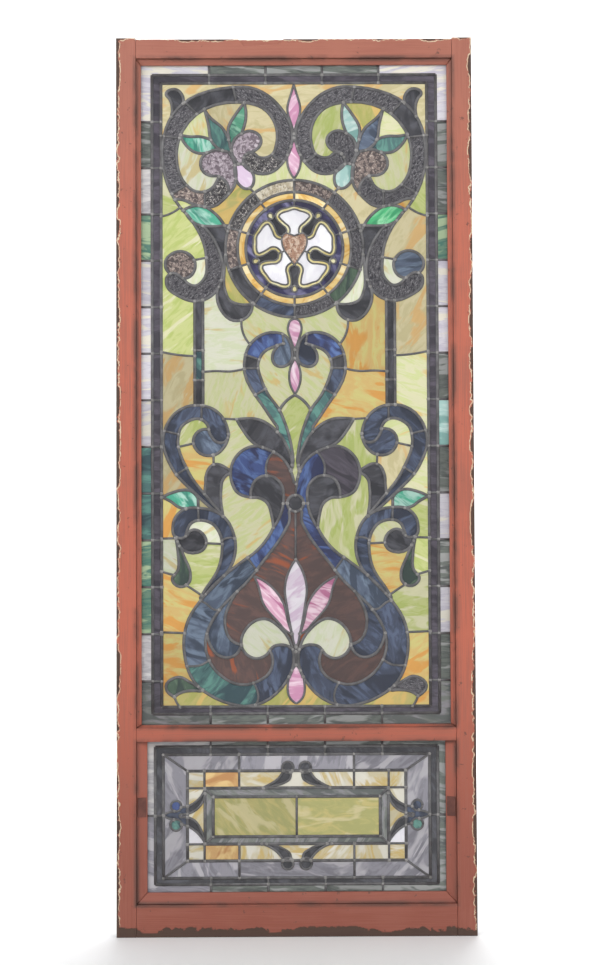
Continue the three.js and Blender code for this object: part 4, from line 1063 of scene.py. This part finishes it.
def border_cells():
    """The rows of the border's cells down both sides, and of the rose's rim, gold, petals and blades."""
    rows = []
    half = UPPER_RINGS[0][0]
    heights = [SIDE_CROSS[0] - FOOT_CELL] + [(a + b) / 2 for a, b in zip(SIDE_CROSS, SIDE_CROSS[1:])]
    for side, name in ((-1, "left"), (1, "right")):
        for up, kind in zip(heights[::-1], BORDER_GLASS[name].split()):
            rows.append(("border_panes", kind, (side * (half + BORDER_CELL), up)))
    middle = (ROSE_RINGS[0] + ROSE_RINGS[1]) / 2
    for number, kind in enumerate(RIM_GLASS.split()):
        angle = math.pi / 2 + math.tau * (number + 0.5) / ROSE_PARTS
        rows.append(("rose_rim_panes", kind, tuple(turned([(middle, 0)], angle)[0])))
    for petal in range(PETALS):
        axis = math.pi / 2 + math.tau * petal / PETALS
        blade = axis + math.pi / PETALS
        for kind, along, way in PETAL_CELLS:
            place = turned([(along, 0)], axis if way == "petal" else blade)[0]
            rows.append(("rose_panes", kind, tuple(place)))
    return rows + [("rose_panes", "copper", (0, ROSE_UP))]


def named_cells(panel):
    """Every row that names the glass of single cells, as (piece, kind, (across, up)) with one place each."""
    rows = []
    for piece, kinds, places in UPPER_CELLS if panel == "upper" else LOWER_CELLS:
        left, right = kinds.split()[0], kinds.split()[-1]
        for out, up in places:
            if out:
                rows.append((piece, left, (-out, up)))
            rows.append((piece, right, (out, up)))
    return rows + border_cells() if panel == "upper" else rows


@lru_cache
def pane_table(panel):
    """What each triangle belongs to, and for each cell its middle, reach, piece, glass and random draws."""
    corners, triangles, label, fixed, _ = cells(panel)
    a, b, c = corners[triangles].transpose(1, 0, 2)
    area = flat_cross(b - a, c - a) / 2
    names, cell = np.unique(label, return_inverse=True)
    whole = np.bincount(cell, np.abs(area))
    sides = np.linalg.norm(np.stack([b - a, c - b, a - c], 1), axis=2)
    rim = np.bincount(cell, (sides * fixed).sum(1))
    order = np.lexsort((np.abs(area), cell))
    last = order[np.append(np.nonzero(np.diff(cell[order]))[0], len(order) - 1)]
    middle = corners[triangles[last]].mean(1)
    piece = region_names(panel, middle).astype(object)
    kind = np.array([PANES[name][3] for name in piece], dtype=object)
    taken = {}
    for name, glass, place in named_cells(panel):
        turns = [flat_cross(q - p, np.array(place) - p) for p, q in ((a, b), (b, c), (c, a))]
        hit = np.nonzero((np.minimum.reduce(turns) >= 0) | (np.maximum.reduce(turns) <= 0))[0]
        if len(hit) == 0:
            raise ValueError(f"no cell at {place} for {glass}")
        number = cell[hit[0]]
        if taken.setdefault(number, (name, glass))[1] != glass:
            raise ValueError(f"{glass} at {place} against {taken[number]}")
        piece[number], kind[number] = name, glass
    draws = np.random.default_rng(SEED).random((len(names), 6))
    shown = 2 * whole / np.maximum(rim, 1e-6) > NARROWEST_PANE
    return cell, area, middle, piece, kind, draws, shown


def new_mesh(name, corners, faces, smooth):
    """A mesh in metres from corners in millimetres."""
    mesh = bpy.data.meshes.new(name)
    mesh.from_pydata((np.asarray(corners) * MM).tolist(), [], faces)
    mesh.update()
    mesh.shade_smooth() if smooth else mesh.shade_flat()
    return mesh


def place_piece(name, mesh, nodes):
    """Puts a finished mesh into the scene as a piece that stands for some CAD nodes."""
    piece = bpy.data.objects.new(name, mesh)
    bpy.context.scene.collection.objects.link(piece)
    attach(piece, "root")
    if nodes:
        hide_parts(*nodes)
    return piece


def inset(flat, sides, gap):
    """The corners of some panes, moved in from their sides by the gap.

    A corner moves by 2 g s / |s|^2, where s is the sum of the inward normals of its two sides and g the
    gap, but never past INSET_LIMIT gaps.
    """
    along = flat[sides[:, 1]] - flat[sides[:, 0]]
    span = np.maximum(np.linalg.norm(along, axis=1, keepdims=True), 1e-9)
    inward = np.stack([-along[:, 1], along[:, 0]], 1) / span
    total = np.zeros_like(flat)
    np.add.at(total, sides.ravel(), np.repeat(inward, 2, axis=0))
    shift = gap * 2 * total / np.maximum((total ** 2).sum(1, keepdims=True), 1e-3)
    shift *= np.minimum(1, INSET_LIMIT * gap / np.maximum(np.linalg.norm(shift, axis=1, keepdims=True), 1e-9))
    return flat + shift


def pane_piece(context, name):
    """Every pane of one piece, as flat sheets with walls, inset from the leads and each a little out of true.

    A pane's depth is the sheet's, plus its tilt times its place across the pane. A side that both of its
    triangles share is a lead that ends inside the pane, and gets no wall.
    """
    sizes = settings(context)[0]
    panel, slot, nodes, _ = PANES[name]
    corners, triangles, _, fixed, _ = cells(panel)
    cell, area, middle, piece, kind, draws, shown = pane_table(panel)
    wanted = (piece == name) & shown
    if not wanted.any():
        raise ValueError(f"{name} has no pane")
    chosen = wanted[cell]
    number = cell[chosen]
    turning = area[chosen, None] < 0
    faces = np.where(turning, triangles[chosen][:, ::-1], triangles[chosen])
    walls = np.where(turning, fixed[chosen][:, [1, 0, 2]], fixed[chosen])
    count = len(corners)
    keys, faces = np.unique(number[:, None] * count + faces, return_inverse=True)
    faces = faces.reshape(-1, 3)
    owner, flat = keys // count, corners[keys % count]
    sides = np.stack([faces, np.roll(faces, -1, 1)], 2)[walls]
    ends = np.sort(sides, axis=1)
    _, same, times = np.unique(ends[:, 0] * len(flat) + ends[:, 1], return_inverse=True, return_counts=True)
    sides = sides[times[same] == 1]

    flat = inset(flat, sides, sizes.pane_gap / MM)
    local = flat - middle[owner]
    lean = math.tau * draws[owner, 0]
    reach = np.zeros(len(wanted))
    np.maximum.at(reach, owner, np.linalg.norm(local, axis=1))
    lift = (local[:, 0] * np.cos(lean) + local[:, 1] * np.sin(lean)) / np.maximum(reach[owner], 1)
    lift *= (2 * draws[owner, 1] - 1) * sizes.pane_tilt / MM
    front, back = (np.stack([flat[:, 0], face + lift, flat[:, 1]], 1) for face in GLASS_FACES)
    far = sides + len(flat)
    edge_faces = np.stack([sides[:, 1], sides[:, 0], far[:, 0], far[:, 1]], 1)
    polygons = faces.tolist() + (faces[:, ::-1] + len(flat)).tolist() + edge_faces.tolist()
    mesh = new_mesh(name, np.vstack([front, back]), polygons, False)

    spin = BORDER_SPIN * (draws[owner, 2] - 0.5) if "border" in name else math.tau * draws[owner, 2]
    drawn = rotated(local, spin) * MM + SHEET_SIDE * draws[owner, 3:5]
    loops = np.empty(len(mesh.loops), dtype=np.int32)
    mesh.loops.foreach_get("vertex_index", loops)
    sheet = np.vstack([drawn, drawn])[loops].astype(np.float32)
    mesh.uv_layers.new(name="Sheet").data.foreach_set("uv", sheet.ravel())
    tone = mesh.attributes.new("tone", "FLOAT", "POINT")
    tone.data.foreach_set("value", np.tile(draws[owner, 5], 2).astype(np.float32))
    used = sorted(set(kind[wanted]))
    for glass in used:
        mesh.materials.append(glass_material(glass))
    slots = np.array([used.index(glass) if glass in used else 0 for glass in kind])
    pane = np.concatenate([number, number, owner[sides[:, 0]]])
    mesh.polygons.foreach_set("material_index", slots[pane].astype(np.int32))
    place_piece(name, mesh, nodes)


def swept(line, width, base, crown, sides):
    """Half an ellipse carried along a flat line.

    Across is cos(a) width / 2, and depth goes from base to crown by sin(a). At a bend the profile stands
    on the mitre, so it is 1 / cos(half the turn) wider there.
    """
    closed = np.linalg.norm(line[0] - line[-1]) < 1e-6
    along = np.diff(line, axis=0)
    along /= np.maximum(np.linalg.norm(along, axis=1, keepdims=True), 1e-9)
    before, after = np.vstack([along[:1], along]), np.vstack([along, along[-1:]])
    if closed:
        before[0], after[-1] = along[-1], along[0]
    both = before + after
    both /= np.maximum(np.linalg.norm(both, axis=1, keepdims=True), 1e-9)
    stretch = 1 / np.maximum((both * after).sum(1), 0.6)
    aside = np.stack([-both[:, 1], both[:, 0]], 1) * stretch[:, None]
    angle = np.linspace(0, math.pi, sides)
    across = np.cos(angle) * width / 2
    depth = base + np.sin(angle) * (crown - base)
    flat = line[:, None] + across[None, :, None] * aside[:, None]
    return np.stack([flat[..., 0], np.broadcast_to(depth, flat.shape[:2]), flat[..., 1]], 2)


def tube_faces(rows, sides, first, flip):
    """Faces of a closed profile carried over some rows, with a lid at both ends."""
    place = first + np.arange(rows * sides).reshape(rows, sides)
    ring = np.roll(place, -1, 1)
    quads = np.stack([place[:-1], place[1:], ring[1:], ring[:-1]], 2).reshape(-1, 4)
    lids = [place[0].tolist(), place[-1, ::-1].tolist()]
    if flip:
        return quads[:, ::-1].tolist() + [lid[::-1] for lid in lids]
    return quads.tolist() + lids


def came_piece(context, name, panel, face, sides):
    """The rounded faces of all the leads of a panel, on its front or its back."""
    sizes, colours, _ = settings(context)
    way = -1 if face == 0 else 1
    base, crown = GLASS_FACES[face], LEAD_FACES[face] + way * sizes.came_proud / MM
    corners, faces = [], []
    total = 0
    for line, width in zip(*leads(panel)):
        grid = swept(line, getattr(sizes, width) / MM, base, crown, sides)
        corners.append(grid.reshape(-1, 3))
        faces += tube_faces(len(line), sides, total, face == 1)
        total += corners[-1].shape[0]
    mesh = new_mesh(name, np.vstack(corners), faces, True)
    mesh.materials.append(metal_material("lead", tuple(colours.lead)))
    place_piece(name, mesh, [f"{panel}_lead"])


def solder_piece(context, name, panel, face):
    """Low domes on the joints: radius r f, height h (1 - f^2) for f from 1 in to 0, with a wandering rim."""
    sizes, colours, _ = settings(context)
    joints = cells(panel)[4]
    way = -1 if face == 0 else 1
    height = (sizes.came_proud + sizes.solder_proud) / MM
    angle = np.arange(SOLDER_SIDES) * math.tau / SOLDER_SIDES
    draws = np.random.default_rng(SEED + 1).random((len(joints), SOLDER_SIDES + 1))
    least, spread, wobble = SOLDER_SPREAD
    radius = sizes.solder_radius / MM * (least + spread * draws[:, :1] + wobble * draws[:, 1:])
    if panel == "upper":
        in_rose = np.hypot(joints[:, 0], joints[:, 1] - ROSE_UP) < ROSE_RINGS[2] - ROSE_SOLDER_IN
        radius *= np.where(in_rose, ROSE_SOLDER, 1.0)[:, None]
    reach = radius[:, None, :] * SOLDER_RINGS[None, :, None]
    across = joints[:, None, None, 0] + reach * np.cos(angle)
    up = joints[:, None, None, 1] + reach * np.sin(angle)
    rise = height * (1 - SOLDER_RINGS ** 2) - SOLDER_SINK * (SOLDER_RINGS == 1.0)
    depth = np.broadcast_to(LEAD_FACES[face] + way * rise[None, :, None], reach.shape)
    grid = np.stack([across, depth, up], 3)
    number = np.arange(reach.size).reshape(reach.shape)
    following = np.roll(number, -1, 2)
    quads = np.stack([number[:, :-1], number[:, 1:], following[:, 1:], following[:, :-1]], 3).reshape(-1, 4)
    lids, floors = number[:, -1], number[:, 0, ::-1]
    groups = (quads, lids[:, ::-1], floors[:, ::-1]) if way > 0 else (quads[:, ::-1], lids, floors)
    faces = [polygon for group in groups for polygon in group.tolist()]
    mesh = new_mesh(name, grid.reshape(-1, 3), faces, True)
    mesh.materials.append(metal_material("solder", tuple(colours.solder)))
    place_piece(name, mesh, [f"{panel}_lead"])


def wood_piece(context, node, along):
    """A copy of a CAD member with its doubles merged, worn arrises and old paint."""
    sizes = settings(context)[0]
    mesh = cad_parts[node].data.copy()
    mesh.name = f"painted_{node}"
    form = bmesh.new()
    form.from_mesh(mesh)
    bmesh.ops.remove_doubles(form, verts=form.verts, dist=MERGED_WITHIN)
    bmesh.ops.dissolve_limit(form, angle_limit=FLAT_WITHIN, verts=form.verts, edges=form.edges)
    form.to_mesh(mesh)
    form.free()
    mesh.materials.clear()
    mesh.materials.append(paint_material(f"paint_along_{along}", along))
    mesh.shade_flat()
    piece = place_piece(f"painted_{node}", mesh, [node])
    worn = piece.modifiers.new("Worn edges", "BEVEL")
    worn.width = sizes.worn_edge
    worn.segments = 2
    worn.limit_method = "ANGLE"
    worn.angle_limit = ARRIS_FROM
    worn.loop_slide = False
    worn.harden_normals = True
    return piece


def area_light(name, place, aim, size, power):
    """A square soft light that looks from its place towards a point."""
    data = bpy.data.lights.new(name, "AREA")
    data.shape = "SQUARE"
    data.size = size
    data.energy = power
    light = bpy.data.objects.new(name, data)
    light.rotation_mode = "QUATERNION"
    light.rotation_quaternion = (Vector(aim) - Vector(place)).to_track_quat("-Z", "Y")
    light.location = place
    bpy.context.scene.collection.objects.link(light)
    return light


def build_camera():
    """The camera at the photograph's viewing angle, 4 m in front of the sash."""
    data = bpy.data.cameras.new("camera")
    data.sensor_fit = "VERTICAL"
    data.sensor_height = 36.0
    data.lens = CAMERA_LENS
    camera = bpy.data.objects.new("camera", data)
    pitch, yaw, roll = (math.radians(turn) for turn in CAMERA_TURNS)
    camera.matrix_world = (
        Matrix.Translation(CAMERA_PLACE) @ Matrix.Rotation(yaw, 4, "Z") @ Matrix.Rotation(pitch, 4, "X")
        @ Matrix.Rotation(roll, 4, "Y") @ Matrix.Rotation(math.pi / 2, 4, "X")
    )
    bpy.context.scene.collection.objects.link(camera)
    bpy.context.scene.camera = camera


def glaze(context, panel):
    """Cuts every piece of glass of a panel."""
    for name, row in PANES.items():
        if row[0] == panel:
            pane_piece(context, name)


class BuildSash(bpy.types.Operator):
    """Dresses the stiles and rails: worn arrises and old paint"""

    bl_idname = "leaded_window.sash"
    bl_label = "Sash"

    def execute(self, context):
        for node in ("left_stile", "right_stile"):
            wood_piece(context, node, "z")
        for node in ("top_rail", "middle_rail", "bottom_rail"):
            wood_piece(context, node, "x")
        return {"FINISHED"}


class BuildBeads(bpy.types.Operator):
    """Dresses the glazing beads round both panels"""

    bl_idname = "leaded_window.beads"
    bl_label = "Glazing beads"

    def execute(self, context):
        for bead in BEADS:
            along = "z" if "left" in bead or "right" in bead else "x"
            wood_piece(context, f"{bead}_bead", along)
        return {"FINISHED"}


class BuildPlates(bpy.types.Operator):
    """Paints the two repair plates on the lower beads"""

    bl_idname = "leaded_window.plates"
    bl_label = "Repair plates"

    def execute(self, context):
        colours = settings(context)[1]
        for node in ("left_plate", "right_plate"):
            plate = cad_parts[node]
            plate.data.materials.clear()
            plate.data.materials.append(metal_material("plate", tuple(colours.plate)))
        return {"FINISHED"}


class BuildCames(bpy.types.Operator):
    """Lays the rounded lead cames on both faces of both panels"""

    bl_idname = "leaded_window.cames"
    bl_label = "Lead cames"

    def execute(self, context):
        for panel in ("upper", "lower"):
            for face, (side, around) in enumerate((("front", 7), ("back", 5))):
                came_piece(context, f"{panel}_cames_{side}", panel, face, around)
        return {"FINISHED"}


class BuildSolder(bpy.types.Operator):
    """Drops solder on every joint of the leads"""

    bl_idname = "leaded_window.solder"
    bl_label = "Solder joints"

    def execute(self, context):
        for panel in ("upper", "lower"):
            for face, side in enumerate(("front", "back")):
                solder_piece(context, f"{panel}_solder_{side}", panel, face)
        return {"FINISHED"}


class BuildUpperGlass(bpy.types.Operator):
    """Cuts the borders, ground, scrolls and leaves of the upper panel"""

    bl_idname = "leaded_window.upper_glass"
    bl_label = "Upper glass"

    def execute(self, context):
        glaze(context, "upper")
        return {"FINISHED"}


class BuildLowerGlass(bpy.types.Operator):
    """Cuts the glass of the lower panel"""

    bl_idname = "leaded_window.lower_glass"
    bl_label = "Lower glass"

    def execute(self, context):
        glaze(context, "lower")
        return {"FINISHED"}


class BuildStage(bpy.types.Operator):
    """Sets the pale floor, the soft lights, the world and the camera"""

    bl_idname = "leaded_window.stage"
    bl_label = "Stage"

    def execute(self, context):
        bowl_stage()
        for name, place, aim, size, power in LIGHTS:
            area_light(name, place, aim, size, power)
        world = bpy.data.worlds.new("studio")
        world.use_nodes = True
        world.node_tree.nodes["Background"].inputs["Color"].default_value = (0.95, 0.97, 1.0, 1)
        world.node_tree.nodes["Background"].inputs["Strength"].default_value = WORLD_LIGHT
        context.scene.world = world
        context.scene.view_settings.view_transform = "Standard"
        build_camera()
        return {"FINISHED"}


def bowl_stage():
    """A pale floor that curves up into a wall all round.

    Its profile is flat to the foot of the curve and then a quarter circle: radius f + c sin(a) and
    height c (1 - cos(a)). The profile is turned once round the window.
    """
    bend = np.linspace(0, math.pi / 2, 12)
    curve = FLOOR_FLAT + FLOOR_CURVE * np.sin(bend)
    radius = np.concatenate([FLOOR_RINGS, curve, [FLOOR_FLAT + FLOOR_CURVE]])
    flat = np.zeros(len(FLOOR_RINGS))
    height = np.concatenate([flat, FLOOR_CURVE * (1 - np.cos(bend)), [FLOOR_CURVE + WALL_RISE]])
    around = 48
    angle = np.arange(around) * math.tau / around
    grid = np.stack([
        radius[:, None] * np.cos(angle), radius[:, None] * np.sin(angle), height[:, None] + 0 * angle
    ], 2)
    place = np.arange(len(radius) * around).reshape(len(radius), around)
    ring = np.roll(place, -1, 1)
    faces = np.stack([place[:-1], place[1:], ring[1:], ring[:-1]], 2).reshape(-1, 4)
    mesh = new_mesh("floor", grid.reshape(-1, 3) / MM, faces[:, ::-1].tolist() + [place[0].tolist()], True)
    shade = Shader("floor", 0.6)
    shade.surface.inputs["Base Color"].default_value = (*FLOOR_COLOUR, 1)
    mesh.materials.append(shade.material)
    floor = bpy.data.objects.new("floor", mesh)
    bpy.context.scene.collection.objects.link(floor)


class WindowPanel(bpy.types.Panel):
    """Lists the steps of the window in the order in which they are run"""

    bl_idname = "VIEW3D_PT_leaded_window"
    bl_label = "Leaded window"
    bl_space_type = "VIEW_3D"
    bl_region_type = "UI"
    bl_category = "Leaded window"

    def draw(self, context):
        for group in settings(context)[:2]:
            for name in group.bl_rna.properties.keys():
                if name not in ("rna_type", "name"):
                    self.layout.prop(group, name)
        for step in STEPS:
            self.layout.operator(step.bl_idname)


STEPS = (
    BuildSash, BuildBeads, BuildPlates, BuildCames, BuildSolder, BuildUpperGlass, BuildLowerGlass, BuildStage,
)
CLASSES = (WindowSizes, WindowColours, GlassColours, *STEPS, WindowPanel)


def register():
    """Registers the classes and hangs the property groups on the scene."""
    for kind in CLASSES:
        bpy.utils.register_class(kind)
    bpy.types.Scene.window_sizes = PointerProperty(type=WindowSizes)
    bpy.types.Scene.window_colours = PointerProperty(type=WindowColours)
    bpy.types.Scene.window_glass = PointerProperty(type=GlassColours)


def unregister():
    """Takes away what register added."""
    del bpy.types.Scene.window_glass
    del bpy.types.Scene.window_colours
    del bpy.types.Scene.window_sizes
    for kind in reversed(CLASSES):
        bpy.utils.unregister_class(kind)


def main():
    """Runs every step in order."""
    register()
    for step in STEPS:
        group, name = step.bl_idname.split(".")
        getattr(getattr(bpy.ops, group), name)()


if __name__ == "__main__":
    main()
